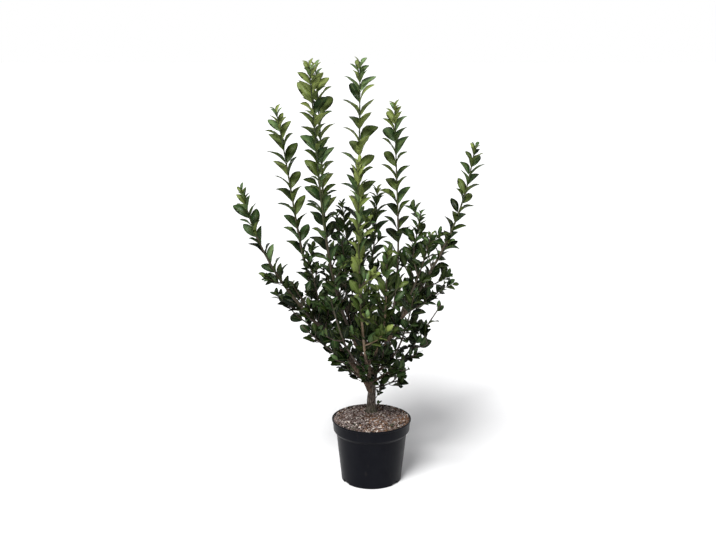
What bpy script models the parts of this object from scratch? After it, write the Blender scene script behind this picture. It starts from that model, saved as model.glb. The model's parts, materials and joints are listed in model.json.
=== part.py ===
"""Potted privet: a multi-stemmed garden shrub in a round nursery pot.

Metres, +Z up, with the origin in the middle of the pot's flat underside.
A short trunk stands on the compost. Shoots leave it, or leave one another, and
each shoot follows one curve: its lower stretch is a bare tapering bough, and the
rest is the stem of a foliage mass, with side twigs and pairs of leaves fused on
by a seeded rule. -Y is the side that faces a viewer in front of the plant.
"""
import math
import random

import bmesh
import bpy
from mathutils import Matrix, Vector
from mathutils.bvhtree import BVHTree

GAP = 0.0003                # clearance between pieces that touch

# Pot: a tapered wall under a wider rim band, open at the top
RIM_RADIUS = 0.115
POT_HEIGHT = 0.185
POT_WALL = 0.0018
FLOOR_THICKNESS = 0.003
BASE_RADIUS = 0.0875
SHOULDER_RADIUS = 0.1022    # outer radius of the wall just under the band
BAND_RADIUS = 0.1105        # outer radius of the band at its lower edge
BAND_LOW = 0.152
SHOULDER_HEIGHT = 0.1445
LIP_HEIGHT = 0.005
LIP_OVERHANG = 0.0018
NOTCH_BEARINGS = (33, 141, 213, 321)    # drainage notches round the lower corner, in degrees
NOTCH_WIDTH = 0.022
NOTCH_HEIGHT = 0.0105
NOTCH_DEPTH = 0.014
POT_STEPS = 28

# Compost: domed, with a level patch that the trunk stands on
SOIL_TOP = 0.1975
SOIL_EDGE = 0.180
PATCH_RADIUS = 0.038
SOIL_ROUGHNESS = 0.0012

# Trunk: height above the compost, sideways drift in x, and radius
TRUNK_FOOT = Vector((0.0, 0.015, SOIL_TOP + GAP))
TRUNK_STATIONS = (
    (0.000, 0.000, 0.0170),
    (0.010, 0.000, 0.0140),
    (0.030, 0.000, 0.0122),
    (0.060, 0.001, 0.0112),
    (0.085, 0.001, 0.0108),
    (0.110, 0.007, 0.0098),
    (0.140, 0.012, 0.0088),
    (0.165, 0.013, 0.0080),
    (0.186, 0.016, 0.0072),
)

# Shoots. Each row: name, parent, share of the parent's length where it starts,
# tip (x, y, z), lean from the vertical at the root, turn of the root about the
# vertical away from the tip's bearing, lean at the tip (degrees), radius at the
# root, share of the shoot that is bare bough, leaf length on the upper stem,
# number of side twigs, length of the lowest side twig.
SHOOTS = (
    ("far_left", "trunk", 0.34, (-0.350, -0.10, 0.870), 30, 0, 12, 0.0085, 0.30, 0.064, 3, 0.12),
    ("left", "far_left", 0.20, (-0.268, 0.08, 1.061), 38, 0, 13, 0.0058, 0.16, 0.066, 2, 0.12),
    ("top_left_front", "trunk", 0.62, (-0.164, -0.15, 1.196), 40, 4, 6, 0.0062, 0.20, 0.068, 2, 0.12),
    ("top_left_back", "trunk", 0.92, (-0.157, 0.04, 1.190), 42, 0, 6, 0.0060, 0.22, 0.066, 3, 0.11),
    ("centre_back", "trunk", 1.00, (-0.034, 0.18, 1.193), 20, 30, 1, 0.0062, 0.18, 0.066, 2, 0.12),
    ("centre_front", "trunk", 0.46, (-0.039, -0.24, 0.960), 54, 0, 0, 0.0052, 0.24, 0.054, 3, 0.10),
    ("right_back", "trunk", 0.60, (0.070, 0.24, 1.068), 42, -20, -3, 0.0056, 0.22, 0.062, 2, 0.12),
    ("far_right", "trunk", 0.76, (0.286, 0.04, 0.971), 24, 0, 7, 0.0068, 0.28, 0.050, 4, 0.12),
    ("back", "trunk", 0.52, (0.019, 0.28, 0.812), 48, 24, 8, 0.0048, 0.20, 0.048, 2, 0.10),
    ("right_inner", "right_back", 0.14, (0.143, 0.12, 0.765), 40, 0, 14, 0.0042, 0.16, 0.046, 2, 0.10),
    ("right_front", "far_right", 0.18, (0.159, -0.08, 0.742), 34, -20, 16, 0.0042, 0.16, 0.046, 2, 0.10),
    ("right_low_back", "far_right", 0.23, (0.213, 0.08, 0.569), 58, 20, 36, 0.0036, 0.16, 0.042, 1, 0.09),
    ("right_low_front", "trunk", 0.50, (0.186, -0.12, 0.556), 62, -8, 34, 0.0042, 0.20, 0.040, 2, 0.08),
    ("front_high", "centre_front", 0.17, (0.038, -0.22, 0.730), 40, 24, 8, 0.0040, 0.16, 0.048, 2, 0.09),
    ("left_twiggy", "left", 0.07, (-0.225, -0.05, 0.604), 44, 10, 30, 0.0034, 0.16, 0.042, 1, 0.08),
    ("left_low_back", "far_left", 0.25, (-0.250, 0.05, 0.517), 58, -24, 44, 0.0036, 0.16, 0.042, 1, 0.09),
    ("left_low_front", "far_left", 0.14, (-0.192, -0.12, 0.500), 58, 24, 42, 0.0036, 0.16, 0.042, 1, 0.09),
    ("left_inner", "left", 0.11, (-0.186, 0.01, 0.665), 36, 30, 22, 0.0036, 0.16, 0.046, 2, 0.09),
    ("left_lowest", "far_left", 0.07, (-0.155, -0.04, 0.430), 66, -10, 60, 0.0030, 0.16, 0.036, 0, 0.06),
    ("centre_left", "trunk", 0.74, (-0.085, 0.10, 0.800), 34, -25, 8, 0.0044, 0.20, 0.048, 2, 0.10),
    ("centre_left_front", "top_left_front", 0.13, (-0.085, -0.02, 0.715), 28, 0, 10, 0.0040, 0.16, 0.046, 2, 0.10),
    ("front_right", "trunk", 0.62, (0.110, -0.20, 0.610), 52, 14, 22, 0.0042, 0.18, 0.044, 2, 0.10),
    ("back_left", "centre_back", 0.12, (-0.105, 0.26, 0.740), 44, 0, 14, 0.0042, 0.16, 0.046, 2, 0.10),
    ("back_right", "right_back", 0.10, (0.190, 0.22, 0.610), 60, -20, 26, 0.0040, 0.16, 0.044, 2, 0.10),
    ("back_low", "trunk", 0.36, (-0.030, 0.25, 0.560), 60, 8, 28, 0.0042, 0.18, 0.042, 2, 0.09),
    ("front_left", "centre_front", 0.11, (-0.110, -0.23, 0.600), 52, -10, 24, 0.0040, 0.16, 0.044, 2, 0.09),
    ("lowest_right", "trunk", 0.38, (0.090, -0.04, 0.318), 72, 0, 66, 0.0026, 0.0, 0.036, 2, 0.05),
    ("low_front", "trunk", 0.78, (0.030, -0.150, 0.440), 60, 0, 30, 0.0030, 0.0, 0.040, 1, 0.07),
    ("low_back", "trunk", 0.84, (0.015, 0.17, 0.450), 60, 0, 30, 0.0030, 0.0, 0.040, 1, 0.07),
    ("low_left", "trunk", 0.50, (-0.100, 0.05, 0.430), 60, 0, 30, 0.0030, 0.0, 0.040, 1, 0.07),
)
ROOT_HANDLE = 0.35          # lengths of a shoot curve's two handles, shares of its chord
TIP_HANDLE = 0.45
PATH_POINTS = 40            # points that a shoot's curve is measured with

# Limbs and twigs
BOUGH_STEP = 0.060          # spacing of the rings along a bough
SLIM_BOUGH = 0.0046         # a bough with a smaller root has four sides instead of six
STEM_STEP = 0.06
TWIG_STEP = 0.040
TRUNK_SIDES = 8
TAPER_POWER = 1.15
COLLAR_SWELL = 1.15         # a bough is thicker where it leaves its parent
STEM_TIP_RADIUS = 0.0016
TWIG_ROOT_RADIUS = 0.0026
TWIG_TIP_RADIUS = 0.0013
SQUARE_SWELL = 1.2          # a four-sided stem's corners, against the round stem's radius
TWIG_ANGLE = 52
TWIG_RISE = 0.7             # how strongly a side twig bends upward
TWIG_ZONE = 0.6             # share of a stem's nodes, from below, that side twigs spring from
TWIG_CEILING = 0.70         # and they spring no higher than this
TWIG_SHORTENING = 0.5       # the highest side twig is this much shorter than the lowest
TWIG_TEST_STEP = 0.008      # spacing of the points that a twig is tested at for a clash
TWIG_TEST_START = 0.12      # share of a twig, next to its stem, that the clash test leaves out
TWIG_TEST_SWELL = 0.0010    # clearance that the clash test keeps round a twig
TWIG_LENGTHS = (0.8, 1.15)  # a twig's length is its worked-out length times a draw from this
TWIG_WANDER = 0.3           # radians that a twig may turn away from its leaf pair's bearing
TWIG_LEAF_SPREAD = 0.12     # share by which a twig's leaf length differs from LOW_LEAF_LENGTH
TWIG_HANDLE = 0.35
TWIG_POINTS = 10

# Leaves, as shares of the leaf's length
LEAF_HALF_WIDTH = 0.30
LEAF_WIDEST = 0.43
LEAF_KEEL = 0.40            # where the rib is deepest
LEAF_THICKNESS = 0.035
LEAF_ARCH = 0.09
LEAF_FOLD = 0.02            # how far the two sides rise above the rib
LEAF_TIP_DROP = 0.11
LEAF_TEST_START = 0.16      # the stretch next to the twig that the clash test leaves out
LEAF_TEST_SWELL = 0.0012    # clearance that the clash test keeps round a leaf

# Spacing and angles of the leaf pairs
TOP_INTERNODE = 0.79        # spacing of the pairs near a tip, as a share of the leaf's length
LOW_INTERNODE = 1.34
NODE_TURN = 90
FIRST_TURN = 45             # bearing of the youngest pair, give or take TURN_SPREAD
TURN_SPREAD = 16
LEAF_ANGLE = 44
TIP_LEAF_ANGLE = 26
TIP_LEAF_SHARE = 0.45       # size of the youngest leaves against the full-grown ones
YOUNG_STRETCH = 1.6         # leaf lengths below a tip over which leaves grow to full size
OLD_LEAF_LOSS = 0.15        # how much shorter the oldest leaves of a stem are
TIP_INSET = 0.004           # the youngest pair stands this far below the stem's tip
ROOT_STRETCH = 0.012        # bare stretch at the root of a stem or twig
PAIR_OFFSET = 0.0015        # the two leaves of a pair stand this far apart along the stem
LEAF_SINK = 0.0012          # how deep a leaf's base lies inside its stem
ANGLE_SPREAD = 8.0          # degrees by which a leaf's angle to its stem differs
BEARING_SPREAD = 0.1        # radians by which its bearing differs
ROLL_SPREAD = 0.25          # radians by which it rolls about its rib
SIZE_SPREAD = 0.1           # share by which its length and its width differ
LEAF_LIFT = 0.5             # how far leaves on a leaning stem are lifted
LEAF_SKY_TURN = 1.2         # how far they turn their upper side to the sky
LOW_LEAF_LENGTH = 0.045     # leaf length on side twigs
KEPT_FACES = (0.70, 0.76, 0.84, 1.0)    # shares of a mass's faces: the first that stays closed is kept
UNION_SOLVER = "MANIFOLD"
SEED = 20


# ---------------------------------------------------------------- objects and meshes

def clear_scene():
    """Remove what a new Blender file starts with."""
    for item in list(bpy.data.objects):
        bpy.data.objects.remove(item, do_unlink=True)


def make_collection(name):
    """A new collection in the scene."""
    group = bpy.data.collections.new(name)
    bpy.context.scene.collection.children.link(group)
    return group


def make_material(name, colour, roughness, metallic=0.0):
    """A Principled BSDF with a plain colour (linear RGB)."""
    material = bpy.data.materials.new(name)
    material.use_nodes = True
    shader = material.node_tree.nodes["Principled BSDF"]
    shader.inputs["Base Color"].default_value = (*colour, 1.0)
    shader.inputs["Roughness"].default_value = roughness
    shader.inputs["Metallic"].default_value = metallic
    return material


def add_object(name, data, group, material=None):
    """Put a mesh or curve in the scene as an object of a collection."""
    item = bpy.data.objects.new(name, data)
    group.objects.link(item)
    if material and not data.materials:
        data.materials.append(material)
    return item


def evaluated_mesh(item):
    """The object's mesh after its modifiers or its bevel, as new mesh data."""
    graph = bpy.context.evaluated_depsgraph_get()
    return bpy.data.meshes.new_from_object(item.evaluated_get(graph))


def largest_body(mesh):
    """Keep only the body with the most faces, so no scrap or sealed hollow stays."""
    body = bmesh.new()
    body.from_mesh(mesh)
    pieces = []
    unseen = set(body.verts)
    while unseen:
        start = unseen.pop()
        piece, edge = {start}, [start]
        while edge:
            for link in edge.pop().link_edges:
                for vert in link.verts:
                    if vert in unseen:
                        unseen.discard(vert)
                        piece.add(vert)
                        edge.append(vert)
        pieces.append(piece)
    pieces.sort(key=len)
    for piece in pieces[:-1]:
        bmesh.ops.delete(body, geom=list(piece), context="VERTS")
    body.to_mesh(mesh)
    body.free()
    return len(pieces) - 1


def slimmed(mesh):
    """The mesh with the small faces round the joins collapsed, still one closed body."""
    item = add_object("slim", mesh, bpy.context.scene.collection)
    item.modifiers.new("split", "TRIANGULATE")
    collapse = item.modifiers.new("collapse", "DECIMATE")
    for share in KEPT_FACES:
        collapse.ratio = share
        slim = evaluated_mesh(item)
        if trimmed(slim):
            break
    bpy.data.objects.remove(item, do_unlink=True)
    return slim


def trimmed(mesh):
    """Take away loose flaps and edges, and tell whether what is left is closed."""
    body = bmesh.new()
    body.from_mesh(mesh)
    flaps = True
    while flaps:
        flaps = [face for face in body.faces if any(len(edge.link_faces) == 1 for edge in face.edges)]
        bmesh.ops.delete(body, geom=flaps, context="FACES")
    wires = [edge for edge in body.edges if not edge.link_faces]
    bmesh.ops.delete(body, geom=wires, context="EDGES")
    closed = all(edge.is_manifold for edge in body.edges)
    body.to_mesh(mesh)
    body.free()
    return closed


# ---------------------------------------------------------------- pot and compost

def turned(name, profile, steps, group, material):
    """Turn a profile of (radius, height) points about Z with a Screw modifier."""
    mesh = bpy.data.meshes.new(name)
    points = [(radius, 0.0, height) for radius, height in profile]
    mesh.from_pydata(points, [(i, i + 1) for i in range(len(points) - 1)], [])
    item = add_object(name, mesh, group, material)
    screw = item.modifiers.new("turn", "SCREW")
    screw.axis = "Z"
    screw.angle = math.tau
    screw.steps = steps
    screw.render_steps = steps
    screw.use_merge_vertices = True
    screw.merge_threshold = 0.00002
    screw.use_smooth_shade = True
    return item


def make_pot(group, cutters, material):
    """The pot, with drainage notches cut through its lower corner."""
    inner_base = BASE_RADIUS - POT_WALL
    profile = [
        (0.0, FLOOR_THICKNESS),
        (inner_base, FLOOR_THICKNESS),
        (SHOULDER_RADIUS - POT_WALL, SHOULDER_HEIGHT),
        (BAND_RADIUS - POT_WALL, BAND_LOW + POT_WALL),
        (RIM_RADIUS - LIP_OVERHANG - POT_WALL, POT_HEIGHT - 0.0008),
        (RIM_RADIUS - LIP_OVERHANG - 0.001, POT_HEIGHT),
        (RIM_RADIUS - 0.0008, POT_HEIGHT),
        (RIM_RADIUS, POT_HEIGHT - 0.0012),
        (RIM_RADIUS - 0.0004, POT_HEIGHT - LIP_HEIGHT),
        (RIM_RADIUS - LIP_OVERHANG - 0.0006, POT_HEIGHT - LIP_HEIGHT - 0.0012),
        (BAND_RADIUS, BAND_LOW),
        (SHOULDER_RADIUS, SHOULDER_HEIGHT - POT_WALL),
        (BASE_RADIUS, 0.002),
        (BASE_RADIUS - 0.0015, 0.0),
        (0.0, 0.0),
    ]
    pot = turned("pot", profile, POT_STEPS, group, material)
    notches = make_collection("pot_notches")
    for bearing in NOTCH_BEARINGS:
        bpy.ops.mesh.primitive_cube_add(size=1.0)
        notch = bpy.context.active_object
        notch.name = f"notch_{bearing}"
        size = Matrix.Diagonal((2 * NOTCH_DEPTH, NOTCH_WIDTH, 2 * NOTCH_HEIGHT, 1.0))
        notch.data.transform(size)
        turn = Matrix.Rotation(math.radians(bearing), 4, "Z")
        notch.matrix_world = turn @ Matrix.Translation((BASE_RADIUS, 0.0, 0.0))
        for owner in list(notch.users_collection):
            owner.objects.unlink(notch)
        notches.objects.link(notch)
        notch.hide_render = True
        notch.display_type = "WIRE"
    cut = pot.modifiers.new("notches", "BOOLEAN")
    cut.operation = "DIFFERENCE"
    cut.operand_type = "COLLECTION"
    cut.collection = notches
    cutters.children.link(notches)
    bpy.context.scene.collection.children.unlink(notches)
    return pot


def make_soil(group, material):
    """The compost that fills the pot, its dome slightly uneven."""
    base = BASE_RADIUS - POT_WALL - GAP
    shoulder = SHOULDER_RADIUS - POT_WALL - GAP
    band = BAND_RADIUS - POT_WALL - GAP
    edge_share = (SOIL_EDGE - BAND_LOW) / (POT_HEIGHT - BAND_LOW)
    edge = band + edge_share * (RIM_RADIUS - LIP_OVERHANG - BAND_RADIUS)
    drop = SOIL_TOP - SOIL_EDGE
    profile = [
        (0.0, SOIL_TOP),
        (PATCH_RADIUS, SOIL_TOP),
        (0.066, SOIL_TOP - 0.28 * drop),
        (0.092, SOIL_TOP - 0.66 * drop),
        (edge, SOIL_EDGE),
        (band, BAND_LOW + POT_WALL + 2 * GAP),
        (shoulder, SHOULDER_HEIGHT),
        (base, FLOOR_THICKNESS + GAP),
        (0.0, FLOOR_THICKNESS + GAP),
    ]
    soil = turned("soil", profile, POT_STEPS, group, material)
    soil.data = evaluated_mesh(soil)
    soil.modifiers.clear()
    draw = random.Random(SEED)
    for vert in soil.data.vertices:
        spread = math.hypot(vert.co.x, vert.co.y)
        if vert.co.z > SOIL_EDGE + 0.001 and spread > PATCH_RADIUS + 0.001:
            vert.co.z += draw.uniform(-SOIL_ROUGHNESS, SOIL_ROUGHNESS)
    return soil


# ---------------------------------------------------------------- curves and limbs

class Path:
    """A curve through space, measured along its length."""

    def __init__(self, points):
        self.points = points
        self.along = [0.0]
        for a, b in zip(points, points[1:]):
            self.along.append(self.along[-1] + (b - a).length)
        self.length = self.along[-1]

    def at(self, share):
        """The point at a share of the length."""
        target = min(max(share, 0.0), 1.0) * self.length
        for k in range(1, len(self.points)):
            if self.along[k] >= target:
                break
        step = self.along[k] - self.along[k - 1]
        blend = (target - self.along[k - 1]) / step
        return self.points[k - 1].lerp(self.points[k], blend)

    def heading(self, share):
        """The direction of the curve at a share of the length."""
        reach = 0.02
        return (self.at(share + reach) - self.at(share - reach)).normalized()

    def stretch(self, start, end, step):
        """Evenly spaced shares from start to end, at most one step apart."""
        count = max(2, math.ceil((end - start) * self.length / step) + 1)
        return [start + (end - start) * k / (count - 1) for k in range(count)]


def leaning(bearing, lean):
    """A unit vector that leans from the vertical toward a bearing, in degrees."""
    lean = math.radians(lean)
    return Vector((math.cos(bearing) * math.sin(lean), math.sin(bearing) * math.sin(lean), math.cos(lean)))


def bezier_path(start, start_way, end, end_way, start_handle, end_handle, count):
    """A cubic curve between two points with a direction at each end."""
    chord = (end - start).length
    first = start + start_way * chord * start_handle
    second = end - end_way * chord * end_handle
    points = []
    for k in range(count):
        t = k / (count - 1)
        s = 1.0 - t
        points.append(start * s**3 + first * 3 * s * s * t + second * 3 * s * t * t + end * t**3)
    return Path(points)


def side_way(way, bearing):
    """The unit vector square to a limb on a bearing round it, counted from the +X side."""
    side = Vector((1.0, 0.0, 0.0))
    side = (side - way * side.dot(way)).normalized()
    return Matrix.Rotation(bearing, 3, way) @ side


def limb_mesh(name, path, shares, radii, sides, bearing=0.0, grow=0.0):
    """A tapering limb: a prism cut into rings, each ring moved to its share of a path.

    The first corner of each ring stands on the given bearing round the path.
    grow sets all its faces out, for the cutter that seats another limb on it.
    """
    body = bmesh.new()
    bmesh.ops.create_cone(body, cap_ends=True, segments=sides, radius1=1.0, radius2=1.0, depth=1.0)
    upright = [edge for edge in body.edges if abs(edge.verts[0].co.z - edge.verts[1].co.z) > 0.5]
    bmesh.ops.subdivide_edges(body, edges=upright, cuts=len(shares) - 2)
    last = len(shares) - 1
    for vert in body.verts:
        ring = round((vert.co.z + 0.5) * last)
        corner = math.atan2(vert.co.y, vert.co.x) + bearing
        way = path.heading(shares[ring])
        out = radii[ring] + grow / math.cos(math.pi / sides)
        end = {0: -grow, last: grow}.get(ring, 0.0)
        vert.co = path.at(shares[ring]) + side_way(way, corner) * out + way * end
    mesh = bpy.data.meshes.new(name)
    body.to_mesh(mesh)
    body.free()
    return mesh


def seated(item, parent_cutter):
    """Hollow the root of a limb so that it lies on its parent's side."""
    seat = item.modifiers.new("seat", "BOOLEAN")
    seat.operation = "DIFFERENCE"
    seat.object = parent_cutter
    mesh = evaluated_mesh(item)
    largest_body(mesh)
    item.modifiers.clear()
    item.data = mesh


def make_trunk(group, material):
    """The trunk, flared at the compost and flat under its foot, and the cutter for its shoots."""
    path = Path([TRUNK_FOOT + Vector((drift, 0.0, height)) for height, drift, _ in TRUNK_STATIONS])
    shares = [along / path.length for along in path.along]
    radii = [radius for _, _, radius in TRUNK_STATIONS]
    trunk = add_object("trunk", limb_mesh("trunk", path, shares, radii, TRUNK_SIDES), group, material)
    cutter = limb_mesh("trunk_seat", path, shares, radii, TRUNK_SIDES, grow=GAP)
    return trunk, path, cutter


class Shoot:
    """One shoot: its curve, its tapering radius and the sizes of its row."""

    def __init__(self, row, number, roots):
        (self.name, self.parent, place, tip, lean, turn, tip_lean, self.radius, self.bare,
         self.leaf, self.twigs, self.twig_length) = row
        self.number = number
        root = roots[self.parent].at(place)
        tip = Vector(tip)
        bearing = math.atan2(tip.y - root.y, tip.x - root.x)
        self.path = bezier_path(
            root, leaning(bearing + math.radians(turn), lean), tip, leaning(bearing, tip_lean),
            ROOT_HANDLE, TIP_HANDLE, PATH_POINTS,
        )

    def radius_at(self, share):
        """The shoot's radius, which falls to STEM_TIP_RADIUS at its tip."""
        return STEM_TIP_RADIUS + (self.radius - STEM_TIP_RADIUS) * max(0.0, 1.0 - share) ** TAPER_POWER


def make_bough(shoot, parent_cutter, group, material):
    """The bare lower stretch of a shoot, seated on its parent, and the cutter for its own shoots."""
    shares = shoot.path.stretch(0.0, shoot.bare, BOUGH_STEP)
    radii = [shoot.radius_at(share) for share in shares]
    radii[0] *= COLLAR_SWELL
    sides = 6 if shoot.radius > SLIM_BOUGH else 4
    mesh = limb_mesh("bough", shoot.path, shares, radii, sides)
    bough = add_object("bough_" + shoot.name, mesh, group, material)
    seated(bough, parent_cutter)
    return bough, limb_mesh("bough_seat", shoot.path, shares, radii, sides, grow=GAP)


# ---------------------------------------------------------------- clash tests

class Obstacles:
    """Everything that a new twig or leaf keeps clear of, each with its carrier's key."""

    def __init__(self):
        self.items = []

    def add(self, key, points, faces):
        """Add a closed shape."""
        low = [min(p[k] for p in points) for k in range(3)]
        high = [max(p[k] for p in points) for k in range(3)]
        self.items.append((key, low, high, BVHTree.FromPolygons(points, faces)))

    def add_mesh(self, key, mesh):
        """Add a mesh that is already in world coordinates."""
        self.add(key, [v.co.copy() for v in mesh.vertices], [tuple(f.vertices) for f in mesh.polygons])

    def near(self, points, swell):
        """The items whose box comes within a distance of the points' box."""
        low = [min(p[k] for p in points) - swell for k in range(3)]
        high = [max(p[k] for p in points) + swell for k in range(3)]
        for key, item_low, item_high, tree in self.items:
            if all(item_low[k] <= high[k] and item_high[k] >= low[k] for k in range(3)):
                yield key, tree

    def touches_line(self, path, radius, own_key, skipped):
        """Whether a twig along a path comes too close to anything but its carrier."""
        count = max(3, math.ceil(path.length / TWIG_TEST_STEP))
        places = [path.at(skipped + (1.0 - skipped) * k / count) for k in range(count + 1)]
        for key, tree in self.near(places, radius):
            for place in places:
                if key != own_key and tree.find_nearest(place, radius)[0] is not None:
                    return True
        return False

    def touches_leaf(self, points, faces, own_key):
        """Whether a leaf's test shape crosses anything but its carrier."""
        leaf = BVHTree.FromPolygons(points, faces)
        return any(key != own_key and tree.overlap(leaf) for key, tree in self.near(points, 0.0))


# ---------------------------------------------------------------- leaves and masses

def leaf_mesh(name, start, swell):
    """A six-faced leaf one unit long: pointed, with a keel under its rib, and arched.

    It starts as a four-sided cone that points down. Its rim becomes the leaf's outline:
    base, side, tip, side. Its apex becomes the keel.
    start trims the base, and swell widens the leaf, for the clash test.
    """
    body = bmesh.new()
    bmesh.ops.create_cone(
        body, cap_ends=True, cap_tris=False, segments=4, radius1=0.0, radius2=1.0, depth=1.0,
    )
    sides = []
    for vert in body.verts:
        x, y, z = (round(c) for c in vert.co)
        if vert.co.z < 0.0:
            vert.co = (LEAF_KEEL, 0.0, LEAF_ARCH - LEAF_THICKNESS - swell)
        elif x:
            vert.co = (1.0, 0.0, -LEAF_TIP_DROP) if x > 0 else (start, 0.0, 0.0)
        else:
            vert.co = (LEAF_WIDEST, y * (LEAF_HALF_WIDTH + swell), LEAF_ARCH + LEAF_FOLD + swell)
            sides.append(vert)
    bmesh.ops.connect_verts(body, verts=sides)
    bmesh.ops.recalc_face_normals(body, faces=body.faces)
    mesh = bpy.data.meshes.new(name)
    body.to_mesh(mesh)
    body.free()
    return mesh


def leaf_matrix(place, stem_way, radius, bearing, angle, length, width, roll):
    """Where a leaf stands: its rib leaves the stem at an angle, on a bearing round it.

    On a stem that leans, the leaf is lifted and its upper side turned toward the sky.
    """
    side = side_way(stem_way, bearing)
    way = stem_way * math.cos(angle) + side * math.sin(angle)
    up_side = stem_way * math.sin(angle) - side * math.cos(angle)
    sky = Vector((0.0, 0.0, 1.0))
    slant = 1.0 - abs(stem_way.z)
    way = (way + sky * LEAF_LIFT * slant).normalized()
    up_side = up_side + sky * LEAF_SKY_TURN * slant
    up_side = (up_side - way * up_side.dot(way)).normalized()
    up_side = Matrix.Rotation(roll, 3, way) @ up_side
    across = up_side.cross(way)
    turn = Matrix((way, across, up_side)).transposed().to_4x4()
    size = Matrix.Diagonal((length, length * width, length, 1.0))
    root = place + side * (SQUARE_SWELL * math.cos(math.pi / 4) * radius - LEAF_SINK)
    return Matrix.Translation(root) @ turn @ size


def leaf_nodes(length, full):
    """Where the leaf pairs of a stem stand, from its tip down.

    Each is (distance from the tip, leaf length, growth), growth running from 0
    in the bud to 1. The spacing follows the length of the leaves.
    """
    nodes = []
    distance = TIP_INSET
    while distance < length - ROOT_STRETCH:
        growth = min(1.0, (distance - TIP_INSET) / (YOUNG_STRETCH * full))
        older = distance / length
        leaf = full * (TIP_LEAF_SHARE + (1.0 - TIP_LEAF_SHARE) * growth) * (1.0 - OLD_LEAF_LOSS * older)
        nodes.append((distance, leaf, growth))
        distance += leaf * (TOP_INTERNODE + (LOW_INTERNODE - TOP_INTERNODE) * older)
    return nodes


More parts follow.
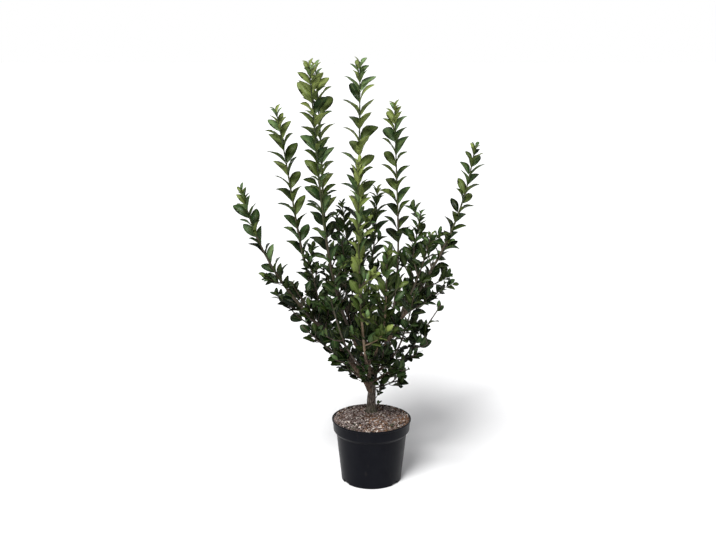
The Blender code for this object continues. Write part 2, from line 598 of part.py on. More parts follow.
class Mass:
    """A foliage mass: one stem with side twigs and pairs of leaves."""

    def __init__(self, shoot):
        self.shoot = shoot
        self.carriers = []      # each stem or twig: its key, path, leaf length and draw
        self.bodies = []        # meshes to be joined: the stem first
        self.leaves = []        # matrices of the leaves
        self.skipped = 0

    def lay_stem(self):
        """The stem, 0.3 mm clear of the bough's tip, or from the trunk's axis where there is no bough."""
        shoot = self.shoot
        start = shoot.bare + GAP / shoot.path.length if shoot.bare else 0.0
        shares = shoot.path.stretch(start, 1.0, STEM_STEP)
        radii = [SQUARE_SWELL * shoot.radius_at(share) for share in shares]
        self.draw = random.Random(SEED + 100 * shoot.number)
        self.phase = math.radians(FIRST_TURN + self.draw.uniform(-TURN_SPREAD, TURN_SPREAD))
        mesh = limb_mesh("stem", shoot.path, shares, radii, 4, self.phase + math.pi / 4)
        self.bodies.append(mesh)
        self.path = Path([shoot.path.at(share) for share in shares])

    def radius_at(self, key, share):
        """The radius of the stem (key 0) or of a twig at a share of its length."""
        if key[1] == 0:
            return self.shoot.radius_at(self.shoot.bare + share * (1.0 - self.shoot.bare))
        return TWIG_ROOT_RADIUS + (TWIG_TIP_RADIUS - TWIG_ROOT_RADIUS) * share

    def twig_spots(self, nodes):
        """The nodes that carry a side twig, the lowest first, as node numbers from the tip."""
        count = self.shoot.twigs
        free = []
        for index in reversed(range(len(nodes))):
            height = self.path.at(1.0 - nodes[index][0] / self.path.length).z
            if len(free) < TWIG_ZONE * len(nodes) and height < TWIG_CEILING:
                free.append(index)
        return [free[len(free) * k // count] for k in range(min(count, len(free)))]

    def lay_twigs(self, obstacles):
        """Side twigs from the lower nodes of the stem, each with its own draw."""
        shoot = self.shoot
        nodes = leaf_nodes(self.path.length, shoot.leaf)
        self.used = {}
        for k, index in enumerate(self.twig_spots(nodes)):
            share = 1.0 - nodes[index][0] / self.path.length
            place, way = self.path.at(share), self.path.heading(share)
            first = self.draw.choice((0, 1))
            length = shoot.twig_length * (1.0 - TWIG_SHORTENING * k / shoot.twigs)
            length *= self.draw.uniform(*TWIG_LENGTHS)
            wander = self.draw.uniform(-TWIG_WANDER, TWIG_WANDER)
            key = (shoot.name, k + 1)
            draw = random.Random(SEED + 100 * shoot.number + k + 1)
            phase = draw.uniform(0.0, math.pi)
            leaf = LOW_LEAF_LENGTH * draw.uniform(1.0 - TWIG_LEAF_SPREAD, 1.0 + TWIG_LEAF_SPREAD)
            for side in (first, 1 - first):
                bearing = node_bearing(self.phase, index) + math.pi * side + wander
                curve = twig_path(place, way, bearing, length)
                shares = curve.stretch(0.0, 1.0, TWIG_STEP)
                path = Path([curve.at(share) for share in shares])
                swell = TWIG_ROOT_RADIUS + TWIG_TEST_SWELL
                if obstacles.touches_line(path, swell, (shoot.name, 0), TWIG_TEST_START):
                    continue
                radii = [SQUARE_SWELL * self.radius_at(key, share) for share in shares]
                mesh = limb_mesh("twig", curve, shares, radii, 4, phase + math.pi / 4)
                self.bodies.append(mesh)
                obstacles.add_mesh(key, mesh)
                self.carriers.append((key, path, leaf, phase, draw))
                self.used[index] = side
                break

    def lay_leaves(self, obstacles, test_points, test_faces):
        """Pairs of leaves on the stem and its twigs, each pair turned a quarter from the last."""
        name = self.shoot.name
        carriers = [((name, 0), self.path, self.shoot.leaf, self.phase, self.draw)] + self.carriers
        for key, path, full, phase, draw in carriers:
            for index, (distance, leaf, growth) in enumerate(leaf_nodes(path.length, full)):
                for side in (0, 1):
                    angle = TIP_LEAF_ANGLE + (LEAF_ANGLE - TIP_LEAF_ANGLE) * growth
                    angle = math.radians(angle + draw.uniform(-ANGLE_SPREAD, ANGLE_SPREAD))
                    bearing = node_bearing(phase, index) + math.pi * side
                    bearing += draw.uniform(-BEARING_SPREAD, BEARING_SPREAD)
                    roll = draw.uniform(-ROLL_SPREAD, ROLL_SPREAD)
                    length = leaf * draw.uniform(1.0 - SIZE_SPREAD, 1.0 + SIZE_SPREAD)
                    width = draw.uniform(1.0 - SIZE_SPREAD, 1.0 + SIZE_SPREAD)
                    drop = (distance + PAIR_OFFSET * side) / path.length
                    share = 1.0 - drop
                    if key[1] == 0 and self.used.get(index) == side:
                        continue
                    radius = self.radius_at(key, share)
                    matrix = leaf_matrix(
                        path.at(share), path.heading(share), radius, bearing, angle, length, width, roll,
                    )
                    points = [matrix @ point for point in test_points]
                    if obstacles.touches_leaf(points, test_faces, key):
                        self.skipped += 1
                        continue
                    obstacles.add(("leaf", name), points, test_faces)
                    self.leaves.append(matrix)

    def join(self, leaf, group, material):
        """One Boolean union of the stem with its twigs and leaves."""
        pieces = make_collection("pieces")
        stem = add_object("foliage_" + self.shoot.name, self.bodies[0], group, material)
        for mesh in self.bodies[1:]:
            add_object("twig", mesh, pieces)
        for matrix in self.leaves:
            add_object("leaf", leaf, pieces).matrix_world = matrix
        union = stem.modifiers.new("union", "BOOLEAN")
        union.operation = "UNION"
        union.operand_type = "COLLECTION"
        union.collection = pieces
        union.solver = UNION_SOLVER
        mesh = evaluated_mesh(stem)
        dropped = largest_body(mesh)
        mesh = slimmed(mesh)
        stem.modifiers.clear()
        stem.data = mesh
        for item in list(pieces.objects):
            bpy.data.objects.remove(item, do_unlink=True)
        bpy.data.collections.remove(pieces)
        faces = sum(len(polygon.vertices) - 2 for polygon in mesh.polygons)
        counts = f"{len(self.leaves)} leaves, {self.skipped} skipped, {faces} triangles, {dropped} dropped"
        print(stem.name, counts)
        return stem


def node_bearing(phase, index):
    """Each pair of leaves stands nearly a quarter turn from the next."""
    return phase + math.radians(NODE_TURN) * index


def twig_path(place, stem_way, bearing, length):
    """A side twig's curve, which leaves its stem at an angle and bends up toward the light."""
    side = side_way(stem_way, bearing)
    angle = math.radians(TWIG_ANGLE)
    way = stem_way * math.cos(angle) + side * math.sin(angle)
    late = (way + Vector((0.0, 0.0, TWIG_RISE))).normalized()
    end = place + (way + late) * (0.5 * length)
    return bezier_path(place, way, end, late, TWIG_HANDLE, TWIG_HANDLE, TWIG_POINTS)


def main():
    """Build the whole plant."""
    clear_scene()
    group = make_collection("potted_privet")
    cutters = make_collection("cutters")
    plastic = make_material("pot_plastic", (0.012, 0.013, 0.017), 0.38)
    compost = make_material("compost", (0.14, 0.105, 0.085), 0.95)
    bark = make_material("bark", (0.10, 0.078, 0.06), 0.85)
    pale_bark = make_material("young_bark", (0.16, 0.12, 0.085), 0.8)
    green = make_material("leaf_green", (0.045, 0.075, 0.022), 0.42)

    make_pot(group, cutters, plastic)
    soil = make_soil(group, compost)
    trunk, trunk_path, trunk_seat = make_trunk(group, bark)

    obstacles = Obstacles()
    obstacles.add_mesh(("soil", 0), soil.data)
    obstacles.add_mesh(("trunk", 0), trunk.data)
    seats = {"trunk": add_object("trunk_seat", trunk_seat, cutters)}
    roots = {"trunk": trunk_path}
    masses = []
    for number, row in enumerate(SHOOTS):
        shoot = Shoot(row, number, roots)
        roots[shoot.name] = shoot.path
        if shoot.bare:
            bough, seat = make_bough(shoot, seats[shoot.parent], group, pale_bark)
            seats[shoot.name] = add_object(shoot.name + "_seat", seat, cutters)
            obstacles.add_mesh((shoot.name, "bough"), bough.data)
        masses.append(Mass(shoot))
    for mass in masses:
        mass.lay_stem()
        obstacles.add_mesh((mass.shoot.name, 0), mass.bodies[0])
    for mass in masses:
        mass.lay_twigs(obstacles)
    test_leaf = leaf_mesh("leaf_test", LEAF_TEST_START, LEAF_TEST_SWELL / LOW_LEAF_LENGTH)
    test_points = [vert.co.copy() for vert in test_leaf.vertices]
    test_faces = [tuple(face.vertices) for face in test_leaf.polygons]
    for mass in masses:
        mass.lay_leaves(obstacles, test_points, test_faces)
    leaf = leaf_mesh("leaf", 0.0, 0.0)
    for mass in masses:
        foliage = mass.join(leaf, group, green)
        if not mass.shoot.bare:
            seated(foliage, seats[mass.shoot.parent])
    for seat in seats.values():
        bpy.data.objects.remove(seat, do_unlink=True)


main()
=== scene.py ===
# %% [markdown]
# # Potted privet
#
# This script dresses a potted privet: a shrub with a short trunk, tall leafy whips and
# a dense low bush, in a round black nursery pot. The solid model fixes every size.
# The looks are made here: bark with relief, thin leaves on fine twigs, fibrous compost
# and satin plastic. All lengths are in metres, with +Z up, and -Y faces the viewer.

# %% Load the solid model
import json
import math
import random
from collections import namedtuple

import bpy
import numpy as np
from mathutils import Matrix, Vector
from mathutils.bvhtree import BVHTree

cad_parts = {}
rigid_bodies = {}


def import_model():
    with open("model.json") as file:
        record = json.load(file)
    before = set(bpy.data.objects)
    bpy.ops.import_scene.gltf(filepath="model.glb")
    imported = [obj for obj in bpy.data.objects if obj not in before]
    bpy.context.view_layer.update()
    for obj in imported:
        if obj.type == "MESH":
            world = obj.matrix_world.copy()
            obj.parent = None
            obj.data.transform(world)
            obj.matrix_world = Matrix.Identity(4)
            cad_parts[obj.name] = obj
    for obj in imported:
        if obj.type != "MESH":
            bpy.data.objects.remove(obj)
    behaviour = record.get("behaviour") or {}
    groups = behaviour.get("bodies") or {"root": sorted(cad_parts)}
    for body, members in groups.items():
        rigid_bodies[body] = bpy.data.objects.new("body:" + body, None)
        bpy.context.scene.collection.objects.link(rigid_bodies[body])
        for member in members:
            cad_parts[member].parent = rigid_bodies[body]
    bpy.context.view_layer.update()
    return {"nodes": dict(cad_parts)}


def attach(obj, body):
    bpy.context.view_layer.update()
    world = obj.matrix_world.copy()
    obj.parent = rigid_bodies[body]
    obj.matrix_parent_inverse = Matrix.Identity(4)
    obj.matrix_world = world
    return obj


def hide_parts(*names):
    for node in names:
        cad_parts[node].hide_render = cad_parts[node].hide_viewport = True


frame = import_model()

# %% [markdown]
# ## Finishes
# Every finish starts from the Principled shader. A value that is the same all over is
# set on the shader itself. Only what varies over the surface is wired: a noise for
# colour or roughness, and a bump for the grain. A few short helpers build such nodes,
# and each hands on the socket that comes out, so that one can feed the next.

# %% A small kit for finishes
class Nodes:
    """Short ways to add and join nodes; each returns an output socket."""

    def __init__(self, tree):
        self.tree = tree

    def join(self, value, socket):
        """Wire an output to a socket, or set the socket to a number or colour."""
        if isinstance(value, bpy.types.NodeSocket):
            self.tree.links.new(value, socket)
        else:
            socket.default_value = value

    def add(self, kind, inputs, output=0, **settings):
        """A node, with what goes into its sockets by name or number."""
        node = self.tree.nodes.new("ShaderNode" + kind)
        for key, value in settings.items():
            setattr(node, key, value)
        for socket, value in inputs.items():
            self.join(value, node.inputs[socket])
        return node.outputs[output]

    def maths(self, operation, *values):
        """One sum on numbers or sockets."""
        return self.add("Math", dict(enumerate(values)), operation=operation)

    def space(self, stretch=(1.0, 1.0, 1.0)):
        """The object's own coordinates, scaled along each axis."""
        where = self.add("TexCoord", {}, "Object")
        return self.add("Mapping", {"Vector": where, "Scale": stretch}, "Vector")

    def noise(self, where, scale, detail, roughness=0.55):
        """A noise on given coordinates."""
        inputs = {"Vector": where, "Scale": scale, "Detail": detail, "Roughness": roughness}
        return self.add("TexNoise", inputs, "Fac")

    def ramp(self, share, *stops):
        """A colour ramp; each stop is (position, colour)."""
        colour = self.add("ValToRGB", {"Fac": share}, "Color")
        elements = colour.node.color_ramp.elements
        while len(elements) < len(stops):
            elements.new(0.5)
        for element, (position, value) in zip(elements, stops):
            element.position = position
            element.color = (*value, 1.0)
        return colour

    def axis(self, place, letter):
        """One coordinate of a place."""
        return self.add("SeparateXYZ", {"Vector": place}, letter)

    def blend(self, share, first, second):
        """A mix of two colours by a share."""
        return self.add("Mix", {0: share, 6: first, 7: second}, 2, data_type="RGBA")


class Finish(Nodes):
    """A material under construction, with its plain colour, roughness and specular level."""

    def __init__(self, name, colour, roughness, specular):
        self.material = bpy.data.materials.new(name)
        self.material.use_nodes = True
        super().__init__(self.material.node_tree)
        self.shader = self.tree.nodes["Principled BSDF"].inputs
        self.set("Base Color", (*colour, 1.0))
        self.set("Roughness", roughness)
        self.set("Specular IOR Level", specular)

    def set(self, name, value):
        """Set one of the shader's inputs to a value, or wire an output to it."""
        self.join(value, self.shader[name])

    def bump(self, height, strength, distance):
        """A bump from a height, wired to the shader."""
        inputs = {"Height": height, "Strength": strength, "Distance": distance}
        self.set("Normal", self.add("Bump", inputs, "Normal"))


floor_finish = Finish("pale_floor", (0.87, 0.87, 0.87), 0.9, 0.0)
print("first finish:", floor_finish.material.name)

# %% [markdown]
# ## The stage
# The plant stands on a plain pale floor in soft light, as in a plant nursery's catalogue.
# The camera is a little above the middle of the plant and looks slightly down, so the
# compost shows inside the rim. One broad light from above, in front and to the left
# gives the leaves their sheen, and the pale surroundings keep the shadows soft.

# %% Camera, floor and lights
CAMERA_PLACE = (-0.0393, -2.8, 1.27)
CAMERA_PITCH = 12.95
CAMERA_LENS = 51.3
FLOOR_REACH = 45.0
HORIZON_SHADE = (0.06, (1.0, 1.0, 1.0))
OVERHEAD_SHADE = (0.35, (0.38, 0.38, 0.39))
KEY_STRENGTH = 3.9
KEY_WIDTH = 24.0
KEY_WAY = Vector((0.30, 0.68, -1.0))


def stage_object(name, data):
    """Put a camera, light or floor in the scene."""
    item = bpy.data.objects.new(name, data)
    scene.collection.objects.link(item)
    return item


scene = bpy.context.scene
scene.view_settings.view_transform = "Standard"
scene.view_settings.look = "None"

camera = stage_object("camera", bpy.data.cameras.new("camera"))
camera.data.sensor_width = 36.0
camera.data.lens = CAMERA_LENS
camera.location = CAMERA_PLACE
camera.rotation_euler = (math.radians(90.0 - CAMERA_PITCH), 0.0, 0.0)
scene.camera = camera

floor = stage_object("floor", bpy.data.meshes.new("floor"))
corners = [(x * FLOOR_REACH, y * FLOOR_REACH, 0.0) for x, y in ((-1, -1), (1, -1), (1, 1), (-1, 1))]
floor.data.from_pydata(corners, [], [(0, 1, 2, 3)])
floor.data.materials.append(floor_finish.material)

scene.world = bpy.data.worlds.new("pale surroundings")
scene.world.use_nodes = True
sky = Nodes(scene.world.node_tree)
sky_height = sky.axis(sky.add("TexCoord", {}, "Generated"), "Z")
sky_shade = sky.ramp(sky_height, HORIZON_SHADE, OVERHEAD_SHADE)
sky.join(sky_shade, sky.tree.nodes["Background"].inputs["Color"])

key = stage_object("key", bpy.data.lights.new("key", "SUN"))
key.data.energy = KEY_STRENGTH
key.data.angle = math.radians(KEY_WIDTH)
key.rotation_euler = KEY_WAY.to_track_quat("-Z", "Y").to_euler()
print("stage: camera at", tuple(camera.location), "and", len(bpy.data.lights), "light")

# %% [markdown]
# ## Meshes from arrays
# Most pieces here are a grid of points: rows along something, columns around it. The
# faces of such a grid follow from its two counts, so they can be worked out once, as an
# array, and repeated for a thousand leaves by adding an offset.

# %% From arrays to a mesh
def ring_faces(rows, columns):
    """Quads between rings of points, and triangles to a pole at each end.

    Point (i, j) has the number i * columns + j. The two poles follow the grid.
    """
    j = np.arange(columns)
    after = (j + 1) % columns
    row = columns * np.arange(rows - 1)[:, None]
    quads = np.stack([row + j, row + after, row + columns + after, row + columns + j], -1)
    pole = np.full(columns, rows * columns)
    last = (rows - 1) * columns
    start = np.stack([pole, after, j], -1)
    end = np.stack([pole + 1, last + j, last + after], -1)
    return quads.reshape(-1, 4), np.concatenate([start, end])


def repeated(faces, copies, points_each):
    """The faces of many copies of one shape, whose points follow one another."""
    offsets = np.arange(copies) * points_each
    return (faces + offsets[:, None, None]).reshape(-1, faces.shape[1])


def make_piece(name, points, quads, triangles, paints, slots=None, places=None, smooth=True):
    """A mesh object from arrays.

    quads and triangles hold point numbers; slots gives a material number for each quad
    and then each triangle; places, two numbers a point, are kept as the UV map "place".
    """
    mesh = bpy.data.meshes.new(name)
    points = np.ascontiguousarray(points, dtype=np.float32).reshape(-1, 3)
    corners = np.concatenate([quads.ravel(), triangles.ravel()]).astype(np.int32)
    starts = np.concatenate([np.arange(len(quads)) * 4, quads.size + np.arange(len(triangles)) * 3])
    mesh.vertices.add(len(points))
    mesh.vertices.foreach_set("co", points.ravel())
    mesh.loops.add(len(corners))
    mesh.loops.foreach_set("vertex_index", corners)
    mesh.polygons.add(len(starts))
    mesh.polygons.foreach_set("loop_start", starts.astype(np.int32))
    mesh.update(calc_edges=True)
    for paint in paints:
        mesh.materials.append(paint)
    if slots is not None:
        mesh.polygons.foreach_set("material_index", np.asarray(slots, dtype=np.int32))
    if places is not None:
        layer = mesh.uv_layers.new(name="place")
        layer.data.foreach_set("uv", np.asarray(places, dtype=np.float32)[corners].ravel())
    mesh.polygons.foreach_set("use_smooth", np.full(len(starts), smooth))
    mesh.update()
    piece = stage_object(name, mesh)
    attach(piece, "root")
    print(f"{name}: {len(points)} points, {len(quads) * 2 + len(triangles)} triangles")
    return piece


# %% Ring shapes joined into one piece
class Gathered:
    """Many closed ring shapes that are joined into one mesh."""

    def __init__(self):
        self.points, self.quads, self.triangles = [], [], []
        self.quad_slots, self.triangle_slots = [], []
        self.count = 0

    def add(self, grid, first_pole, last_pole, slot=0):
        """Add one shape: a (rows, columns, 3) grid and its two poles."""
        quads, triangles = ring_faces(*grid.shape[:2])
        self.points.append(np.concatenate([grid.reshape(-1, 3), [first_pole, last_pole]]))
        self.quads.append(quads + self.count)
        self.triangles.append(triangles + self.count)
        self.quad_slots.append(np.full(len(quads), slot))
        self.triangle_slots.append(np.full(len(triangles), slot))
        self.count += len(self.points[-1])

    def make(self, name, paints):
        """The joined mesh object."""
        slots = np.concatenate(self.quad_slots + self.triangle_slots)
        arrays = [np.concatenate(each) for each in (self.points, self.quads, self.triangles)]
        return make_piece(name, *arrays, paints, slots)


def one_shape(name, grid, first_pole, last_pole, paint):
    """A piece made of one closed ring shape."""
    shape = Gathered()
    shape.add(grid, first_pole, last_pole)
    return shape.make(name, [paint])


print("a ring shape of 2 by 4 points has", sum(map(len, ring_faces(2, 4))), "faces")

# %% Ripples and turned profiles
def ripple(points, seed, wavelength, waves=12):
    """A smooth random field over space, about -1 to 1.

    Half the sum of sines of one wavelength, each in a random direction:
    sum over k of sin(direction_k . p * 2 pi / wavelength + phase_k) * sqrt(2 / waves).
    """
    draw = np.random.default_rng(seed)
    direction = draw.normal(size=(waves, 3))
    direction /= np.linalg.norm(direction, axis=1)[:, None]
    phase = draw.uniform(0.0, math.tau, waves)
    turns = points.reshape(-1, 3) @ direction.T * (math.tau / wavelength) + phase
    return (np.sin(turns).sum(-1) * math.sqrt(2.0 / waves) * 0.5).reshape(points.shape[:-1])


def bearings(columns):
    """Evenly spaced angles round a circle."""
    return np.arange(columns) * math.tau / columns


def turned_grid(radii, heights, columns):
    """A profile turned about Z, as (rows, columns, 3) points: r cos a, r sin a, height."""
    angle = bearings(columns)
    level = np.broadcast_to(heights[:, None], (len(heights), columns))
    return np.stack([radii[:, None] * np.cos(angle), radii[:, None] * np.sin(angle), level], -1)


print("eight bearings, in degrees:", np.degrees(bearings(8)))

# %% [markdown]
# ## The pot
# A nursery pot is blown or injection moulded in black plastic: a tapered wall, a wider
# rim band that lets pots stack, a rolled lip, and notches in the lower corner that let
# water out. It is a profile turned round the Z axis, and the notches are pressed into it
# by moving the rows near the bottom, which keeps the surface in one piece.

# %% Pot: profile
RIM_RADIUS = 0.115
POT_HEIGHT = 0.185
POT_WALL = 0.0018
FLOOR_THICKNESS = 0.003
BASE_RADIUS = 0.0875
SHOULDER_RADIUS = 0.1022
BAND_RADIUS = 0.1105
BAND_LOW = 0.152
SHOULDER_HEIGHT = 0.1445
LIP_OVERHANG = 0.0018
NOTCH_DEPTH = 0.014
POT_COLUMNS = 216
POT_ROUNDING = 0.0016


def rounded(corners, radius, steps=4):
    """A profile whose inner corners are rounded with small quadratic curves.

    At a corner B the curve runs from a point P before it to a point Q after it, both
    at the radius: (1 - t)^2 P + 2 t (1 - t) B + t^2 Q.
    """
    corners = np.asarray(corners, dtype=float)
    out = [corners[:1]]
    t = np.linspace(0.0, 1.0, steps)[:, None]
    for before, here, after in zip(corners[:-2], corners[1:-1], corners[2:]):
        back, ahead = before - here, after - here
        back_length, ahead_length = np.linalg.norm(back), np.linalg.norm(ahead)
        reach = min(radius, 0.45 * back_length, 0.45 * ahead_length)
        first = here + back / back_length * reach
        last = here + ahead / ahead_length * reach
        out.append((1 - t) ** 2 * first + 2 * t * (1 - t) * here + t**2 * last)
    out.append(corners[-1:])
    return np.concatenate(out)


inner_base = BASE_RADIUS - POT_WALL
lip = RIM_RADIUS - LIP_OVERHANG
pot_profile = rounded([
    (0.004, FLOOR_THICKNESS),
    (inner_base, FLOOR_THICKNESS),
    (SHOULDER_RADIUS - POT_WALL, SHOULDER_HEIGHT),
    (BAND_RADIUS - POT_WALL, BAND_LOW + POT_WALL),
    (lip - POT_WALL, POT_HEIGHT - 0.0008),
    (lip - 0.0008, POT_HEIGHT),
    (RIM_RADIUS, POT_HEIGHT),
    (RIM_RADIUS - 0.0002, POT_HEIGHT - 0.0048),
    (lip - 0.0004, POT_HEIGHT - 0.0056),
    (BAND_RADIUS, BAND_LOW),
    (SHOULDER_RADIUS, SHOULDER_HEIGHT - POT_WALL),
    (BASE_RADIUS + 0.0008, 0.0125),
    (BASE_RADIUS + 0.0005, 0.0100),
    (BASE_RADIUS, 0.0015),
    (BASE_RADIUS - 0.0015, 0.0),
    (BASE_RADIUS - NOTCH_DEPTH, 0.0),
    (BASE_RADIUS - NOTCH_DEPTH - 0.003, 0.0),
    (0.004, 0.0),
], POT_ROUNDING)
radii, heights = pot_profile.T
pot_grid = turned_grid(radii, heights, POT_COLUMNS)
print("pot profile:", len(pot_profile), "points")

# %% Pot: press the notches in
NOTCH_BEARINGS = (33, 141, 213, 321)
NOTCH_HALF_WIDTH = 0.011
NOTCH_HEIGHT = 0.0105
NOTCH_SOFTNESS = 0.00035
NOTCH_ARCH, NOTCH_SQUARENESS = 1.12, 6
NOTCH_ROWS_BELOW = 0.012
POT_WOBBLE, WOBBLE_LENGTH, POT_SEED = 0.00025, 0.16, 5

off_notch = (bearings(POT_COLUMNS)[:, None] - np.radians(NOTCH_BEARINGS) + math.pi) % math.tau - math.pi
across = np.abs(off_notch).min(1) * BASE_RADIUS
inside = 1.0 / (1.0 + np.exp((across - NOTCH_HALF_WIDTH) / NOTCH_SOFTNESS))
arched = np.clip(1.0 - (across / (NOTCH_HALF_WIDTH * NOTCH_ARCH)) ** NOTCH_SQUARENESS, 0.0, 1.0)
low_rows = np.arange(len(pot_profile)) > len(pot_profile) // 2
low_rows &= (heights < NOTCH_ROWS_BELOW) & (radii > BASE_RADIUS - NOTCH_DEPTH - 0.001)
roof = NOTCH_HEIGHT * np.sqrt(arched) * inside
lift = np.where(low_rows[:, None], np.maximum(roof - pot_grid[:, :, 2], 0.0), 0.0)
pot_grid[:, :, 2] += lift
wobble = POT_WOBBLE * ripple(pot_grid, POT_SEED, WOBBLE_LENGTH)
pot_grid[:, :, :2] *= (1.0 + wobble / RIM_RADIUS)[:, :, None]
print("notches rise to", round(float(lift.max()), 4))

# %% [markdown]
# The plastic is black with a satin sheen. Moulding leaves it slightly uneven, handling
# dulls it in patches, and a little compost dust clings under the rim. Those three are
# a slow noise in the roughness, a fine bump, and a faint brown-grey in the colour.

# %% Pot: satin black plastic
DEEP_BLACK, WORN_BLACK = (0.0034, 0.0037, 0.0060), (0.0054, 0.0058, 0.0084)
DAMP_DUST, DRY_DUST = (0.030, 0.026, 0.022), (0.040, 0.034, 0.029)
NONE = (0.0, 0.0, 0.0)
SATIN, DULL = 0.28, 0.46

plastic = Finish("black_plastic", (0.005, 0.0053, 0.0072), 0.36, 0.06)
patches = plastic.noise(plastic.space(), 26.0, 4.0)
dust = plastic.noise(plastic.space((1.0, 1.0, 0.35)), 90.0, 5.0)
dusty = plastic.ramp(dust, (0.62, NONE), (0.80, (0.30, 0.30, 0.30)))
clean = plastic.ramp(patches, (0.35, DEEP_BLACK), (0.75, WORN_BLACK))
dust_colour = plastic.ramp(patches, (0.0, DAMP_DUST), (1.0, DRY_DUST))
plastic.set("Base Color", plastic.blend(dusty, clean, dust_colour))
sheen = {"Value": patches, "To Min": SATIN, "To Max": DULL}
plastic.set("Roughness", plastic.add("MapRange", sheen, "Result"))
plastic.bump(plastic.noise(plastic.space(), 420.0, 2.0), 0.10, 0.0004)

pot_poles = (0.0, 0.0, FLOOR_THICKNESS), (0.0, 0.0, 0.0)
pot = one_shape("pot_moulded", pot_grid, *pot_poles, plastic.material)
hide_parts("pot")

# %% [markdown]
# ## The compost
# Compost in a pot is a shallow dome of lumps, fibres and bark chips that reaches almost
# to the rim. The lumps are a height field over the disc: a smooth dome plus ripples of
# falling size. It is closed down the inside of the pot and across its floor.

# %% Compost: the height field
SOIL_TOP = 0.1975
SOIL_EDGE = 0.180
DOME_RADII = (0.0, 0.038, 0.066, 0.092, 0.1125)
DOME_DROPS = (0.0, 0.0, 0.28, 0.66, 1.0)
SOIL_COLUMNS = 260
SOIL_ROWS = 78
GAP = 0.0003

# Ripples of the compost. Each row: depth, seed, wavelength, whether it is sharpened.
CRUMBS = (
    (0.0013, 11, 0.030, False),
    (0.0014, 12, 0.011, False),
    (0.0010, 13, 0.006, True),
    (0.0005, 14, 0.003, False),
)


def dome(radius):
    """The height of the compost at a distance from the axis, read between named places."""
    return np.interp(radius, DOME_RADII, SOIL_TOP - np.array(DOME_DROPS) * (SOIL_TOP - SOIL_EDGE))


def crumbs(points):
    """Relief of the compost: the sum of its lumps, clods, bits and grit, seen from above."""
    relief = 0.0
    for depth, seed, wavelength, sharpened in CRUMBS:
        wave = ripple(points * [1.0, 1.0, 0.0], seed, wavelength)
        relief = relief + depth * (np.abs(wave) if sharpened else wave)
    return relief


edge_share = (SOIL_EDGE - BAND_LOW) / (POT_HEIGHT - BAND_LOW)
soil_reach = BAND_RADIUS - POT_WALL + edge_share * (lip - BAND_RADIUS) - GAP
side_low = NOTCH_HEIGHT + 0.002
top_radii = np.linspace(0.0012, soil_reach, SOIL_ROWS)
side_radii = [BAND_RADIUS - POT_WALL - GAP, SHOULDER_RADIUS - POT_WALL - GAP, inner_base - GAP, 0.02]
side_heights = [BAND_LOW + POT_WALL + 2 * GAP, SHOULDER_HEIGHT, side_low, side_low]
soil_radii = np.concatenate([top_radii, side_radii])
soil_grid = turned_grid(soil_radii, np.concatenate([dome(top_radii), side_heights]), SOIL_COLUMNS)
soil_top = soil_grid[:SOIL_ROWS]
soil_top[:, :, 2] += crumbs(soil_top)
print("compost reaches", round(float(soil_top[:, :, 2].max()), 4), "high")

# %% [markdown]
# Weathered compost is mauve-grey where it has dried and orange brown where fresh bark
# shows. Its near-black spots are partly dark compost and partly painted shade for the gaps
# between crumbs; a noise places them, not the relief. Three noises of different sizes
# share these colours out, and the rust gathers to the right and the front.

# %% Compost: finish
RUST_TO_RIGHT = 1.3
RUST_TO_FRONT = 0.5
# The first stop of each ramp is near black: partly dark compost, partly painted shade in the gaps.
GREYS = ((0.36, (0.012, 0.008, 0.007)), (0.50, (0.112, 0.082, 0.075)), (0.66, (0.370, 0.308, 0.286)))
RUSTS = ((0.36, (0.012, 0.006, 0.003)), (0.50, (0.112, 0.060, 0.034)), (0.66, (0.310, 0.198, 0.124)))

compost = Finish("dry_compost", (0.14, 0.11, 0.095), 0.95, 0.2)
lie = compost.space()
small = compost.noise(lie, 240.0, 6.0, 0.7)
rusty = compost.noise(lie, 24.0, 3.0)
rusty = compost.maths("MULTIPLY_ADD", compost.axis(lie, "X"), RUST_TO_RIGHT, rusty)
rusty = compost.maths("MULTIPLY_ADD", compost.axis(lie, "Y"), -RUST_TO_FRONT, rusty)
where_rust = compost.ramp(rusty, (0.50, NONE), (0.66, (0.85, 0.85, 0.85)))
compost_colour = compost.blend(where_rust, compost.ramp(small, *GREYS), compost.ramp(small, *RUSTS))
compost.set("Base Color", compost_colour)
compost.bump(compost.noise(compost.space((1.0, 0.35, 1.0)), 520.0, 3.0, 0.6), 0.7, 0.0012)

soil_poles = (0.0, 0.0, side_low), (0.0, 0.0, SOIL_TOP)
soil = one_shape("compost_bed", soil_grid[::-1], *soil_poles, compost.material)
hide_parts("soil")

# %% [markdown]
# ## Curves
# Everything woody follows a curve. A curve is kept as a row of points with the distance
# travelled to each, so a place on it can be asked for by its share of the length. The
# shoots' curves are cubic Bezier curves with a stated lean at each end.

# %% Curves measured along their length, and rings of points round them
HEADING_REACH = 0.02


class Path:
    """A curve through space, measured along its length."""

    def __init__(self, points):
        self.points = np.asarray(points, dtype=float)
        steps = np.linalg.norm(np.diff(self.points, axis=0), axis=1)
        self.along = np.concatenate([[0.0], np.cumsum(steps)])
        self.length = self.along[-1]

    def at(self, shares):
        """The points at shares of the length: an (n, 3) array, or one Vector for a number."""
        target = np.clip(shares, 0.0, 1.0) * self.length
        found = np.stack([np.interp(target, self.along, self.points[:, k]) for k in range(3)], -1)
        return Vector(found) if np.ndim(shares) == 0 else found

    def heading(self, share):
        """The direction of the curve at a share of the length."""
        return (self.at(share + HEADING_REACH) - self.at(share - HEADING_REACH)).normalized()

    def shares(self, start, end, step):
        """Evenly spaced shares from start to end, at most one step apart."""
        count = max(2, math.ceil((end - start) * self.length / step) + 1)
        return np.linspace(start, end, count)


def leaning(bearing, lean):
    """A unit vector that leans from the vertical toward a bearing, by degrees of lean."""
    lean = math.radians(lean)
    flat = math.sin(lean)
    return Vector((math.cos(bearing) * flat, math.sin(bearing) * flat, math.cos(lean)))


